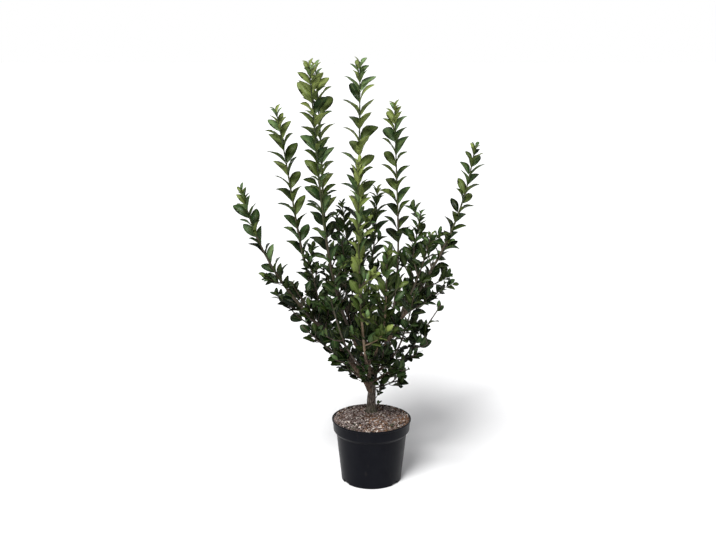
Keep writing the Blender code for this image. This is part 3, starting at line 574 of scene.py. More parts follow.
def bezier(start, start_way, end, end_way, start_handle, end_handle, count):
    """A cubic curve: (1-t)^3 A + 3 t (1-t)^2 B + 3 t^2 (1-t) C + t^3 D.

    B and C lie along the stated ways, at shares of the distance from A to D.
    """
    chord = (end - start).length
    leave, arrive = start + start_way * chord * start_handle, end - end_way * chord * end_handle
    a, b, c, d = np.array([start, leave, arrive, end])
    t = np.linspace(0.0, 1.0, count)[:, None]
    s = 1.0 - t
    return Path(s**3 * a + 3 * s * s * t * b + 3 * s * t * t * c + t**3 * d)


def side_way(way, bearing):
    """The unit vector square to a limb on a bearing round it, counted from the +X side."""
    side = Vector((1.0, 0.0, 0.0))
    side = (side - way * side.dot(way)).normalized()
    return Matrix.Rotation(bearing, 3, way) @ side


def ring_grid(centres, radii, columns):
    """Rings of points round a curve: centre + radius * (side cos a + other sin a).

    centres is (rows, 3). radii is (rows,) or (rows, columns). The side of each ring is
    the +X direction made square to the curve, so rings don't twist.
    """
    way = np.gradient(centres, axis=0)
    way /= np.linalg.norm(way, axis=1)[:, None]
    side = np.array([1.0, 0.0, 0.0]) - way * way[:, :1]
    side /= np.linalg.norm(side, axis=1)[:, None]
    other = np.cross(way, side)
    angle = bearings(columns)[:, None]
    radii = np.broadcast_to(radii.reshape(len(centres), -1), (len(centres), columns))
    spokes = side[:, None] * np.cos(angle) + other[:, None] * np.sin(angle)
    return centres[:, None] + spokes * radii[:, :, None]


print("a way that leans 30 degrees:", tuple(round(c, 3) for c in leaning(0.0, 30.0)))

# %% [markdown]
# ## The shoots
# The plant is a family of shoots. Each leaves the trunk, or an older shoot, at a share of
# its length and bends up to its own tip. The table gives one row to each, with the sizes
# that the solid model was built from, so that everything grown here lies over the solids.

# %% Shoots: the table
TRUNK_FOOT = Vector((0.0, 0.015, SOIL_TOP + GAP))

# Trunk. Each row: height above the foot, drift to the right, radius.
TRUNK_STATIONS = (
    (0.000, 0.000, 0.0170),
    (0.010, 0.000, 0.0140),
    (0.030, 0.000, 0.0122),
    (0.060, 0.001, 0.0112),
    (0.085, 0.001, 0.0108),
    (0.110, 0.007, 0.0098),
    (0.140, 0.012, 0.0088),
    (0.165, 0.013, 0.0080),
    (0.186, 0.016, 0.0072),
)

# Shoots. Each row: name, parent, share of the parent's length where it starts,
# tip (x, y, z), lean from the vertical at the root, turn of the root about the
# vertical away from the tip's bearing, lean at the tip (degrees), radius at the
# root, share of the shoot that is bare bough, leaf length on the upper stem,
# number of side twigs, length of the lowest side twig.
SHOOTS = (
    ("far_left", "trunk", 0.34, (-0.350, -0.10, 0.870), 30, 0, 12, 0.0085, 0.30, 0.064, 3, 0.12),
    ("left", "far_left", 0.20, (-0.268, 0.08, 1.061), 38, 0, 13, 0.0058, 0.16, 0.066, 2, 0.12),
    ("top_left_front", "trunk", 0.62, (-0.164, -0.15, 1.196), 40, 4, 6, 0.0062, 0.20, 0.068, 2, 0.12),
    ("top_left_back", "trunk", 0.92, (-0.157, 0.04, 1.190), 42, 0, 6, 0.0060, 0.22, 0.066, 3, 0.11),
    ("centre_back", "trunk", 1.00, (-0.034, 0.18, 1.193), 20, 30, 1, 0.0062, 0.18, 0.066, 2, 0.12),
    ("centre_front", "trunk", 0.46, (-0.039, -0.24, 0.960), 54, 0, 0, 0.0052, 0.24, 0.054, 3, 0.10),
    ("right_back", "trunk", 0.60, (0.070, 0.24, 1.068), 42, -20, -3, 0.0056, 0.22, 0.062, 2, 0.12),
    ("far_right", "trunk", 0.76, (0.286, 0.04, 0.971), 24, 0, 7, 0.0068, 0.28, 0.050, 4, 0.12),
    ("back", "trunk", 0.52, (0.019, 0.28, 0.812), 48, 24, 8, 0.0048, 0.20, 0.048, 2, 0.10),
    ("right_inner", "right_back", 0.14, (0.143, 0.12, 0.765), 40, 0, 14, 0.0042, 0.16, 0.046, 2, 0.10),
    ("right_front", "far_right", 0.18, (0.159, -0.08, 0.742), 34, -20, 16, 0.0042, 0.16, 0.046, 2, 0.10),
    ("right_low_back", "far_right", 0.23, (0.213, 0.08, 0.569), 58, 20, 36, 0.0036, 0.16, 0.042, 1, 0.09),
    ("right_low_front", "trunk", 0.50, (0.186, -0.12, 0.556), 62, -8, 34, 0.0042, 0.20, 0.040, 2, 0.08),
    ("front_high", "centre_front", 0.17, (0.038, -0.22, 0.730), 40, 24, 8, 0.0040, 0.16, 0.048, 2, 0.09),
    ("left_twiggy", "left", 0.07, (-0.225, -0.05, 0.604), 44, 10, 30, 0.0034, 0.16, 0.042, 1, 0.08),
    ("left_low_back", "far_left", 0.25, (-0.250, 0.05, 0.517), 58, -24, 44, 0.0036, 0.16, 0.042, 1, 0.09),
    ("left_low_front", "far_left", 0.14, (-0.192, -0.12, 0.500), 58, 24, 42, 0.0036, 0.16, 0.042, 1, 0.09),
    ("left_inner", "left", 0.11, (-0.186, 0.01, 0.665), 36, 30, 22, 0.0036, 0.16, 0.046, 2, 0.09),
    ("left_lowest", "far_left", 0.07, (-0.155, -0.04, 0.430), 66, -10, 60, 0.0030, 0.16, 0.036, 0, 0.06),
    ("centre_left", "trunk", 0.74, (-0.085, 0.10, 0.800), 34, -25, 8, 0.0044, 0.20, 0.048, 2, 0.10),
    ("centre_left_front", "top_left_front", 0.13, (-0.085, -0.02, 0.715), 28, 0, 10,
     0.0040, 0.16, 0.046, 2, 0.10),
    ("front_right", "trunk", 0.62, (0.110, -0.20, 0.610), 52, 14, 22, 0.0042, 0.18, 0.044, 2, 0.10),
    ("back_left", "centre_back", 0.12, (-0.105, 0.26, 0.740), 44, 0, 14, 0.0042, 0.16, 0.046, 2, 0.10),
    ("back_right", "right_back", 0.10, (0.190, 0.22, 0.610), 60, -20, 26, 0.0040, 0.16, 0.044, 2, 0.10),
    ("back_low", "trunk", 0.36, (-0.030, 0.25, 0.560), 60, 8, 28, 0.0042, 0.18, 0.042, 2, 0.09),
    ("front_left", "centre_front", 0.11, (-0.110, -0.23, 0.600), 52, -10, 24, 0.0040, 0.16, 0.044, 2, 0.09),
    ("lowest_right", "trunk", 0.38, (0.090, -0.04, 0.318), 72, 0, 66, 0.0026, 0.0, 0.036, 2, 0.05),
    ("low_front", "trunk", 0.78, (0.030, -0.150, 0.440), 60, 0, 30, 0.0030, 0.0, 0.040, 1, 0.07),
    ("low_back", "trunk", 0.84, (0.015, 0.17, 0.450), 60, 0, 30, 0.0030, 0.0, 0.040, 1, 0.07),
    ("low_left", "trunk", 0.50, (-0.100, 0.05, 0.430), 60, 0, 30, 0.0030, 0.0, 0.040, 1, 0.07),
)
ROOT_HANDLE = 0.35
TIP_HANDLE = 0.45
PATH_POINTS = 40
STEM_TIP_RADIUS = 0.0016
TAPER_POWER = 1.15
TRUNK = "trunk"


class Shoot:
    """One shoot: its curve, its tapering radius and the sizes of its row."""

    def __init__(self, row, number):
        (self.name, self.parent, place, tip, lean, turn, tip_lean, self.radius, self.bare,
         self.leaf, self.twigs, self.twig_length) = row
        self.number = number
        root = paths[self.parent].at(place)
        tip = Vector(tip)
        bearing = math.atan2(tip.y - root.y, tip.x - root.x)
        start_way, end_way = leaning(bearing + math.radians(turn), lean), leaning(bearing, tip_lean)
        self.path = bezier(root, start_way, tip, end_way, ROOT_HANDLE, TIP_HANDLE, PATH_POINTS)
        paths[self.name] = self.path

    def radius_at(self, share):
        """The radius, tip + (root - tip) * (1 - share)^power."""
        thinning = np.maximum(0.0, 1.0 - share) ** TAPER_POWER
        return STEM_TIP_RADIUS + (self.radius - STEM_TIP_RADIUS) * thinning


trunk_path = Path([TRUNK_FOOT + Vector((drift, 0.0, height)) for height, drift, _ in TRUNK_STATIONS])
paths = {TRUNK: trunk_path}
shoots = [Shoot(row, number) for number, row in enumerate(SHOOTS)]
print("shoots:", len(shoots), "with", round(sum(s.path.length for s in shoots), 1), "m of stem")

# %% [markdown]
# ## Trunk and boughs
# Privet bark is thin, grey-brown and finely ridged along the limb, with small raised
# pores. The trunk's foot flares and shows low ribs where its roots begin. Each limb is
# a grid of rings whose radius carries this relief, and each bough swells into a collar
# where it leaves its parent, so the join looks grown.

# %% Trunk: rings with relief
BARK_RIDGES = ((5, 0.040), (9, 0.028), (14, 0.022), (21, 0.014))
RIDGE_DRIFT = 1.4
RIDGE_WAVES = (22.0, 60.0)
KNOT_SIZE, KNOT_DEPTH, KNOT_STRETCH = 0.012, 0.0005, (1.0, 1.0, 0.45)
PORE_SIZE, PORE_DEPTH = 0.0042, 0.00022
TRUNK_COLUMNS = 48
TRUNK_ROWS = 130
TRUNK_SEED = 31
STATIONS_BEYOND = 0.02
SMOOTH_SAMPLES, SMOOTH_WINDOW = 310, 18
ROOT_RIBS, RIB_DEPTH, RIB_HEIGHT = 5, 0.0022, 0.012
TRUNK_SUNK = 0.004
TRUNK_CAP = 0.003


def bark_relief(columns, along, radius, seed):
    """Relief of bark on a limb, as a length: ridges, knots and pores.

    Ridges are sines round the limb whose phase drifts slowly along it:
    sum of sin(n a + drift(s) + phase). Pores and knots are ripples in the unrolled plane.
    """
    draw = np.random.default_rng(seed)
    angle = bearings(columns)
    unrolled = turned_grid(radius, along, columns)
    relief = np.zeros(unrolled.shape[:2])
    for ridges, depth in BARK_RIDGES:
        drift = RIDGE_DRIFT * np.sin(along * draw.uniform(*RIDGE_WAVES) + draw.uniform(0.0, math.tau))
        relief += depth * np.sin(ridges * angle + drift[:, None] + draw.uniform(0.0, math.tau))
    knots = ripple(unrolled * KNOT_STRETCH, seed + 1, KNOT_SIZE)
    pores = ripple(unrolled, seed + 2, PORE_SIZE)
    return relief * radius[:, None] + KNOT_DEPTH * knots + PORE_DEPTH * np.clip(pores, 0.0, 1.0)


heights, drifts, trunk_radii = np.array(TRUNK_STATIONS).T
rise = np.linspace(0.0, heights[-1], TRUNK_ROWS)
wide_rise = np.linspace(-STATIONS_BEYOND, heights[-1] + STATIONS_BEYOND, SMOOTH_SAMPLES)


def smooth_stations(values):
    """The stations' values, read between and then averaged over about 13 mm."""
    window = np.hanning(SMOOTH_WINDOW)
    softened = np.convolve(np.interp(wide_rise, heights, values), window / window.sum(), mode="same")
    return np.interp(rise, wide_rise, softened)


trunk_centres = np.array(TRUNK_FOOT) + np.stack([smooth_stations(drifts), 0 * rise, rise], -1)
trunk_round = smooth_stations(trunk_radii)
ribs = 0.5 + 0.5 * np.sin(ROOT_RIBS * bearings(TRUNK_COLUMNS) + 0.6)
flare = RIB_DEPTH * np.exp(-rise / RIB_HEIGHT)[:, None] * ribs
relief = bark_relief(TRUNK_COLUMNS, rise, trunk_round, TRUNK_SEED)
trunk_grid = ring_grid(trunk_centres, trunk_round[:, None] + relief + flare, TRUNK_COLUMNS)
trunk_grid[0, :, 2] = SOIL_TOP - TRUNK_SUNK
trunk_grid[:, :, 2] = np.maximum(trunk_grid[:, :, 2], SOIL_TOP - TRUNK_SUNK)
trunk_poles = trunk_centres[0] - [0.0, 0.0, TRUNK_SUNK], trunk_centres[-1] + [0.0, 0.0, TRUNK_CAP]
print("trunk:", trunk_grid.shape, "up to", round(trunk_centres[-1, 2], 3))

# %% Boughs: tapering limbs with collars
BOUGH_STEP = 0.003
BOUGH_OVERLAP = 0.004
COLLAR_SWELL = 0.35
COLLAR_LENGTH = 0.009
TRUNK_GIRTH = 0.0095
PARENT_GIRTH = 1.12
THICK_BOUGH, THICK_COLUMNS, THIN_COLUMNS = 0.005, 32, 20
BOUGH_RELIEF = 0.8
BOUGH_SEED = 200

bough_bark = Gathered()
boughs = [shoot for shoot in shoots if shoot.bare]
for shoot in boughs:
    shares = shoot.path.shares(0.0, shoot.bare + BOUGH_OVERLAP, BOUGH_STEP)
    along = shares * shoot.path.length
    radii = shoot.radius_at(shares)
    parent_radius = TRUNK_GIRTH if shoot.parent == TRUNK else PARENT_GIRTH * shoot.radius
    collar = 1.0 + COLLAR_SWELL * np.exp(-np.maximum(along - parent_radius, 0.0) / COLLAR_LENGTH)
    columns = THICK_COLUMNS if shoot.radius > THICK_BOUGH else THIN_COLUMNS
    relief = BOUGH_RELIEF * bark_relief(columns, along, radii, BOUGH_SEED + shoot.number)
    centres = shoot.path.at(shares)
    grid = ring_grid(centres, (radii * collar)[:, None] + relief, columns)
    bough_bark.add(grid, centres[0], centres[-1])
print("boughs:", len(boughs))

# %% [markdown]
# Young privet bark is a warm brown; it turns grey with age, and near the compost a green
# film of algae grows on the shaded foot. The colours follow the height, broken up by noise.

# %% Bark: finish
DARK_FILM, PALE_FILM = (0.018, 0.026, 0.009), (0.062, 0.074, 0.032)
TRUNK_BROWNS = ((0.34, (0.010, 0.007, 0.005)), (0.50, (0.058, 0.045, 0.036)), (0.68, (0.250, 0.210, 0.180)))
BOUGH_BROWNS = ((0.34, (0.015, 0.010, 0.007)), (0.50, (0.068, 0.045, 0.031)), (0.68, (0.225, 0.160, 0.112)))


def bark_finish(name, browns, film_height):
    """Ridged bark in three browns, with a green film below a height."""
    bark = Finish(name, browns[1][1], 0.85, 0.25)
    streaks = bark.noise(bark.space((1.0, 1.0, 0.22)), 420.0, 5.0, 0.65)
    spots = bark.noise(bark.space(), 95.0, 4.0, 0.6)
    film = bark.ramp(spots, (0.30, DARK_FILM), (0.70, PALE_FILM))
    down = {"Value": bark.axis(bark.space(), "Z"), "From Min": film_height, "From Max": SOIL_TOP}
    patchy = bark.maths("MULTIPLY", bark.add("MapRange", down, "Result"), spots)
    bark.set("Base Color", bark.blend(patchy, bark.ramp(streaks, *browns), film))
    bark.bump(streaks, 0.8, 0.0006)
    return bark.material


trunk_paint = bark_finish("old_bark", TRUNK_BROWNS, 0.226)
trunk_piece = one_shape("trunk_bark", trunk_grid, *trunk_poles, trunk_paint)
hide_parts("trunk")
bough_piece = bough_bark.make("bough_bark", [bark_finish("bough_bark", BOUGH_BROWNS, 0.20)])
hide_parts(*["bough_" + shoot.name for shoot in boughs])

# %% [markdown]
# ## How the leaves are placed
# Privet leaves stand in opposite pairs, each pair a quarter turn from the next. A pair is
# small and upright at a tip, and full grown and spreading a little lower. Side twigs
# spring from the lower pairs. A seeded rule places them all, and a test skips any twig or
# leaf that would run into its neighbours.

# %% Growth: named sizes
SEED = 20
STEM_STEP = 0.012
TWIG_STEP = 0.010
TWIG_RADII = (0.0026, 0.0013)
SQUARE_SWELL = 1.2
TWIG_ANGLE = 52
TWIG_RISE = 0.7
TWIG_ZONE = 0.6
TWIG_CEILING = 0.70
TWIG_SHORTENING = 0.5
TWIG_TEST_STEP = 0.008
TWIG_TEST_START = 0.12
TWIG_TEST_SWELL = 0.0010
TWIG_LENGTHS = (0.8, 1.15)
TWIG_WANDER = 0.3
TWIG_LEAF_SPREAD = 0.12
TWIG_HANDLE = 0.35
TWIG_POINTS = 10
TWIG_SPACING = 0.85
TOP_INTERNODE = 0.52
LOW_INTERNODE = 0.74
FIRST_TURN = 45
TURN_SPREAD = 16
LEAF_ANGLE = 44
TIP_LEAF_ANGLE = 38
STEM_LEAVES = (0.40, 1.5)
TWIG_LEAVES = (0.60, 1.0)
SPUR_LEAVES = (0.70, 0.5)
LEAF_FULLNESS = 1.14
OLD_LEAF_LOSS = 0.15
TIP_INSET = 0.004
ROOT_STRETCH = 0.012
PAIR_OFFSET = 0.0015
ANGLE_SPREAD = 8.0
BEARING_SPREAD = 0.1
ROLL_SPREAD = 0.50
SIZE_SPREAD = 0.1
LEAF_LIFT = 0.5
LEAF_SKY_TURN = 1.2
LIGHT_WAY = Vector((-0.05, -0.75, 0.66)).normalized()
LIGHT_TURN = 0.95
LOW_LEAF_LENGTH = 0.037
LEAF_SCALES = {
    "top_left_front": 0.86, "top_left_back": 0.92, "centre_front": 0.90, "centre_back": 1.04,
    "right_back": 1.06, "far_left": 0.78, "back": 1.25, "right_inner": 1.10,
}
UPRIGHT = {"centre_front": 15.0, "front_high": 12.0, "far_left": 7.0}
SHED_HEIGHTS = (0.34, 0.44, 0.56, 0.68)
SHED_SHARES = (0.36, 0.46, 0.40, 0.0)
BARER = {
    "low_left": 0.70, "left_lowest": 0.65, "low_back": 0.60, "back_low": 0.55, "right_low_front": 0.66,
}
print("first growth follows seed", SEED)

# %% Growth: what a new twig or leaf keeps clear of
CELL = 0.05


class Obstacles:
    """Closed shapes in a grid of cells, so that a test looks only at what is near."""

    def __init__(self):
        self.items = []
        self.cells = {}

    def cells_of(self, low, high):
        """The cells that a box covers."""
        first, last = np.floor(low / CELL).astype(int), np.floor(high / CELL).astype(int)
        spans = [range(a, b + 1) for a, b in zip(first, last)]
        return [(x, y, z) for x in spans[0] for y in spans[1] for z in spans[2]]

    def add(self, key, points, faces):
        """Add a closed shape under its carrier's key."""
        low, high = points.min(0), points.max(0)
        for cell in self.cells_of(low, high):
            self.cells.setdefault(cell, []).append(len(self.items))
        self.items.append((key, low, high, BVHTree.FromPolygons(points.tolist(), faces)))

    def near(self, points, swell):
        """The items whose box comes within a distance of the points' box."""
        low, high = points.min(0) - swell, points.max(0) + swell
        for number in sorted({n for cell in self.cells_of(low, high) for n in self.cells.get(cell, ())}):
            key, item_low, item_high, tree = self.items[number]
            if (item_low <= high).all() and (item_high >= low).all():
                yield key, tree

    def touches_line(self, path, radius, own_key, skipped):
        """Whether a twig along a path comes too close to anything but its carrier."""
        count = max(3, math.ceil(path.length / TWIG_TEST_STEP))
        places = path.at(skipped + (1.0 - skipped) * np.arange(count + 1) / count)
        return any(
            key != own_key and any(tree.find_nearest(place, radius)[0] is not None for place in places)
            for key, tree in self.near(places, radius)
        )

    def touches_shape(self, points, faces, own_key):
        """Whether a small closed shape crosses anything but its carrier."""
        shape = BVHTree.FromPolygons(points.tolist(), faces)
        return any(key != own_key and tree.overlap(shape) for key, tree in self.near(points, 0.0))

    def add_prism(self, key, path, shares, radii):
        """Add a four-sided tube round a path, which stands for a stem in the tests."""
        grid = ring_grid(path.at(shares), SQUARE_SWELL * radii, 4)
        quads, _ = ring_faces(len(shares), 4)
        last = 4 * (len(shares) - 1)
        ends = [[3, 2, 1, 0], [last, last + 1, last + 2, last + 3]]
        self.add(key, grid.reshape(-1, 3), quads.tolist() + ends)


def solid_mesh(node):
    """The points and faces of one solid of the model."""
    points = np.array([vertex.co for vertex in node.data.vertices])
    return points, [tuple(face.vertices) for face in node.data.polygons]


obstacles = Obstacles()
for name, node in frame["nodes"].items():
    if name in ("soil", TRUNK) or name.startswith("bough_"):
        obstacles.add((name.removeprefix("bough_"), "bough"), *solid_mesh(node))
print("obstacles:", len(obstacles.items))

# %% Growth: where one leaf stands
LEAF_WIDEST = 0.43
LEAF_ARCH = 0.09
LEAF_FOLD = 0.02
LEAF_TIP_DROP = 0.11
LEAF_KEEL = 0.40
LEAF_THICKNESS = 0.035
TEST_HALF_WIDTH = 0.25
TEST_START = 0.16
SET_INTO_STEM = 0.7
SKY = Vector((0.0, 0.0, 1.0))

test_leaf = [Vector(point) for point in (
    (TEST_START, 0.0, 0.0),
    (LEAF_WIDEST, TEST_HALF_WIDTH, LEAF_ARCH + LEAF_FOLD),
    (1.0, 0.0, -LEAF_TIP_DROP),
    (LEAF_WIDEST, -TEST_HALF_WIDTH, LEAF_ARCH + LEAF_FOLD),
    (LEAF_KEEL, 0.0, LEAF_ARCH - LEAF_THICKNESS),
)]
test_faces = [(0, 1, 3), (1, 2, 3), (1, 0, 4), (2, 1, 4), (3, 2, 4), (0, 3, 4)]


def branching(stem_way, bearing, angle):
    """The side of a stem on a bearing, and the way that leaves the stem there at an angle."""
    side = side_way(stem_way, bearing)
    return side, stem_way * math.cos(angle) + side * math.sin(angle)


def leaf_matrix(place, stem_way, radius, bearing, angle, length, width, roll):
    """Where a leaf stands: its rib leaves the stem at an angle, on a bearing round it.

    Its upper side turns toward the light, and on a stem that leans also toward the sky.
    The columns are the leaf's way, the direction across it and its upper side.
    """
    side, way = branching(stem_way, bearing, angle)
    up_side = stem_way * math.sin(angle) - side * math.cos(angle)
    slant = 1.0 - abs(stem_way.z)
    way = (way + SKY * LEAF_LIFT * slant).normalized()
    up_side = up_side + SKY * LEAF_SKY_TURN * slant + LIGHT_WAY * LIGHT_TURN
    up_side = (up_side - way * up_side.dot(way)).normalized()
    up_side = Matrix.Rotation(roll, 3, way) @ up_side
    turn = Matrix((way, up_side.cross(way), up_side)).transposed().to_4x4()
    size = Matrix.Diagonal((length, length * width, length, 1.0))
    return Matrix.Translation(place + side * (SET_INTO_STEM * radius)) @ turn @ size


def leaf_nodes(length, full, spacing=1.0, young=STEM_LEAVES):
    """Where the leaf pairs of a stem stand, from its tip down: (distance, leaf length, growth).

    young holds the share of its full length that a leaf has at the tip, and the distance,
    in full leaf lengths, over which leaves reach their full size.
    """
    least, stretch = young
    nodes = []
    distance = TIP_INSET
    while distance < length - ROOT_STRETCH:
        growth = min(1.0, (distance - TIP_INSET) / (stretch * full))
        older = distance / length
        leaf = full * (least + (1.0 - least) * growth) * (1.0 - OLD_LEAF_LOSS * older)
        nodes.append((distance, leaf, growth))
        distance += leaf * (TOP_INTERNODE + (LOW_INTERNODE - TOP_INTERNODE) * older) * spacing
    return nodes


def node_bearing(phase, index):
    """Each pair of leaves stands a quarter turn from the next."""
    return phase + math.pi / 2 * index


def twig_curve(place, stem_way, bearing, length):
    """A side twig's curve, which leaves its stem at an angle and bends up toward the light."""
    _, way = branching(stem_way, bearing, math.radians(TWIG_ANGLE))
    late = (way + Vector((0.0, 0.0, TWIG_RISE))).normalized()
    end = place + (way + late) * (0.5 * length)
    return bezier(place, way, end, late, TWIG_HANDLE, TWIG_HANDLE, TWIG_POINTS)


print("a test leaf has", len(test_faces), "faces")

# %% Growth: stems and side twigs
class Carrier(namedtuple("Carrier", "key path radii leaf phase draw spray")):
    """A stem, twig, spur or bough that may carry leaves."""

    def radius_at(self, shares):
        """The radius at a share of the length, or at many."""
        return np.interp(shares, np.linspace(0.0, 1.0, len(self.radii)), self.radii)


carriers = []
used = {}


def around(draw, middle, spread):
    """A draw from a spread round a middle."""
    return draw.uniform(middle - spread, middle + spread)


def grow_stem(shoot):
    """The leafy stem of a shoot, from its bough's tip to its own tip."""
    shares = shoot.path.shares(shoot.bare, 1.0, STEM_STEP)
    radii = shoot.radius_at(shares)
    draw = random.Random(SEED + 100 * shoot.number)
    phase = math.radians(FIRST_TURN + around(draw, 0.0, TURN_SPREAD))
    path = Path(shoot.path.at(shares))
    key = (shoot.name, 0)
    obstacles.add_prism(key, path, np.linspace(0.0, 1.0, len(shares)), radii)
    leaf = shoot.leaf * LEAF_SCALES.get(shoot.name, 1.0)
    return Carrier(key, path, radii, leaf, phase, draw, shoot.number)


def grow_twig(key, curve, radii, leaf, phase, draw, spray):
    """A twig or spur along a curve, with a root and a tip radius, as a carrier and an obstacle."""
    shares = curve.shares(0.0, 1.0, TWIG_STEP)
    radii = radii[0] + (radii[1] - radii[0]) * shares
    obstacles.add_prism(key, curve, shares, radii)
    return Carrier(key, Path(curve.at(shares)), radii, leaf, phase, draw, spray)


def grow_side_twigs(shoot, stem):
    """Side twigs from the lower pairs of a stem, each with its own draw."""
    nodes = leaf_nodes(stem.path.length, shoot.leaf)
    node_shares = [1.0 - distance / stem.path.length for distance, _, _ in nodes]
    free = []
    for index in reversed(range(len(nodes))):
        if len(free) < TWIG_ZONE * len(nodes) and stem.path.at(node_shares[index]).z < TWIG_CEILING:
            free.append(index)
    spots = [free[len(free) * k // shoot.twigs] for k in range(min(shoot.twigs, len(free)))]
    for k, index in enumerate(spots):
        place, way = stem.path.at(node_shares[index]), stem.path.heading(node_shares[index])
        first = stem.draw.choice((0, 1))
        length = shoot.twig_length * (1.0 - TWIG_SHORTENING * k / shoot.twigs)
        length *= stem.draw.uniform(*TWIG_LENGTHS)
        wander = around(stem.draw, 0.0, TWIG_WANDER)
        draw = random.Random(SEED + 100 * shoot.number + k + 1)
        phase = draw.uniform(0.0, math.pi)
        leaf = LOW_LEAF_LENGTH * around(draw, 1.0, TWIG_LEAF_SPREAD)
        for side in (first, 1 - first):
            bearing = node_bearing(stem.phase, index) + math.pi * side + wander
            curve = twig_curve(place, way, bearing, length)
            if obstacles.touches_line(curve, TWIG_RADII[0] + TWIG_TEST_SWELL, stem.key, TWIG_TEST_START):
                continue
            key, spray = (shoot.name, k + 1), shoot.number + 0.1 * (k + 1)
            carriers.append(grow_twig(key, curve, TWIG_RADII, leaf, phase, draw, spray))
            used[shoot.name, index] = side
            break


stems = [grow_stem(shoot) for shoot in shoots]
carriers.extend(stems)
for shoot, stem in zip(shoots, stems):
    grow_side_twigs(shoot, stem)
print("stems and side twigs:", len(carriers))

# %% Growth: pairs of leaves
Leaf = namedtuple("Leaf", "matrix growth spray")
leaves = []


def grow_leaves(carrier, spacing=1.0, young=STEM_LEAVES):
    """Pairs of leaves on a carrier; the lower a pair, the likelier that a leaf has dropped.

    Returns how many were skipped because they would run into something.
    """
    skipped = 0
    path, draw = carrier.path, carrier.draw
    owner, kind = carrier.key
    nodes = leaf_nodes(path.length, carrier.leaf, spacing, young)
    for index, side in [(index, side) for index in range(len(nodes)) for side in (0, 1)]:
        distance, leaf, growth = nodes[index]
        angle = TIP_LEAF_ANGLE + (LEAF_ANGLE - TIP_LEAF_ANGLE) * growth - UPRIGHT.get(owner, 0.0)
        angle = math.radians(angle + around(draw, 0.0, ANGLE_SPREAD))
        bearing = node_bearing(carrier.phase, index) + math.pi * side
        bearing += around(draw, 0.0, BEARING_SPREAD)
        roll = around(draw, 0.0, ROLL_SPREAD)
        length = LEAF_FULLNESS * leaf * around(draw, 1.0, SIZE_SPREAD)
        width = around(draw, 1.0, SIZE_SPREAD)
        share = 1.0 - (distance + PAIR_OFFSET * side) / path.length
        place = path.at(share)
        shed = max(BARER.get(owner, 0.0), np.interp(place.z, SHED_HEIGHTS, SHED_SHARES))
        if draw.random() < (0.0 if owner in UPRIGHT else shed):
            continue
        if kind == 0 and used.get((owner, index)) == side:
            continue
        matrix = leaf_matrix(
            place, path.heading(share), carrier.radius_at(share), bearing, angle, length, width, roll,
        )
        points = np.array([matrix @ point for point in test_leaf])
        if obstacles.touches_shape(points, test_faces, carrier.key):
            skipped += 1
            continue
        obstacles.add(("leaf", owner), points, test_faces)
        leaves.append(Leaf(matrix, growth, carrier.spray))
    return skipped


skipped = sum(grow_leaves(stem) for stem in stems)
skipped += sum(grow_leaves(twig, TWIG_SPACING, TWIG_LEAVES) for twig in carriers[len(stems):])
print("first growth:", len(leaves), "leaves,", skipped, "skipped")

# %% [markdown]
# ## Finer twigs
# Low in the bush the plant is fuller than its main twigs: short spurs stand in the leaf
# axils and along the boughs, each with two or three pairs of small leaves. They follow
# the same rule at a smaller size. A reach test keeps them close to the solid model, so
# the outline doesn't grow. A few suckers rise from the trunk itself.

# %% Finer twigs: named sizes
SPUR_CEILING = 0.80
SPUR_FADE_FROM = 0.55
SPUR_LENGTHS = (0.022, 0.056)
SPUR_LEAF = 0.038
SPUR_LEAF_RANGE = (0.8, 1.25)
SPUR_RADII = (0.0011, 0.0007)
SPUR_STEP = 0.014
SPUR_SPACING = 0.68
SPUR_REACH = 0.024
SPUR_TEST_SWELL = 0.0004
SPUR_TEST_START = 0.25
SPUR_CHANCE = 0.46
FORK_SHARE = 0.78
FORK_SHIFT = Vector((0.015, 0.0, 0.0))
FORK_SPREAD = 0.065
FRONT_CHANCE = 0.75
FRONT_BELOW = 0.47
SPUR_CHANCES = {
    "left_lowest": 0.25, "left_low_front": 0.18, "left_low_back": 0.24, "back_low": 0.30,
    "low_back": 0.30, "back_left": 0.35, "back_right": 0.20, "lowest_right": 0.55,
    "right_low_back": 0.26, "far_right": 0.20, "low_left": 0.25, "top_left_front": 0.60,
    "centre_left_front": 0.60, "right_low_front": 0.14, "front_right": 0.20, "front_left": 0.24,
}
TRUNK_CHANCE = 0.70
BOUGH_CHANCE = 0.60
STEM_SPURS_FROM = 0.04
BOUGH_SPURS_FROM = 0.08
TRUNK_SPURS_FROM = 0.56
STEM_SPURS, BOUGH_SPURS, TRUNK_SPURS, SUCKER_DRAWS = 1000, 3000, 5000, 7000

# Suckers. Each row: share of the trunk's height, bearing and lean (degrees), length, leaf length.
SUCKERS = (
    (0.06, -32, 62, 0.030, 0.016),
    (0.20, -20, 34, 0.085, 0.017),
    (0.34, 205, 50, 0.024, 0.019),
    (0.50, -60, 48, 0.034, 0.024),
)
SUCKER_TIP_LEAN = 4
print("suckers:", len(SUCKERS))

# %% Finer twigs: spurs on stems, twigs, boughs and trunk
fork = trunk_path.at(FORK_SHARE) + FORK_SHIFT
solids = []
for name, node in frame["nodes"].items():
    if name.startswith(("foliage_", "bough_")) or name == TRUNK:
        points, faces = solid_mesh(node)
        solids.append(BVHTree.FromPolygons(points.tolist(), faces))


def within_reach(point):
    """Whether a point lies close to the solid model."""
    return any(tree.find_nearest(point, SPUR_REACH)[0] is not None for tree in solids)


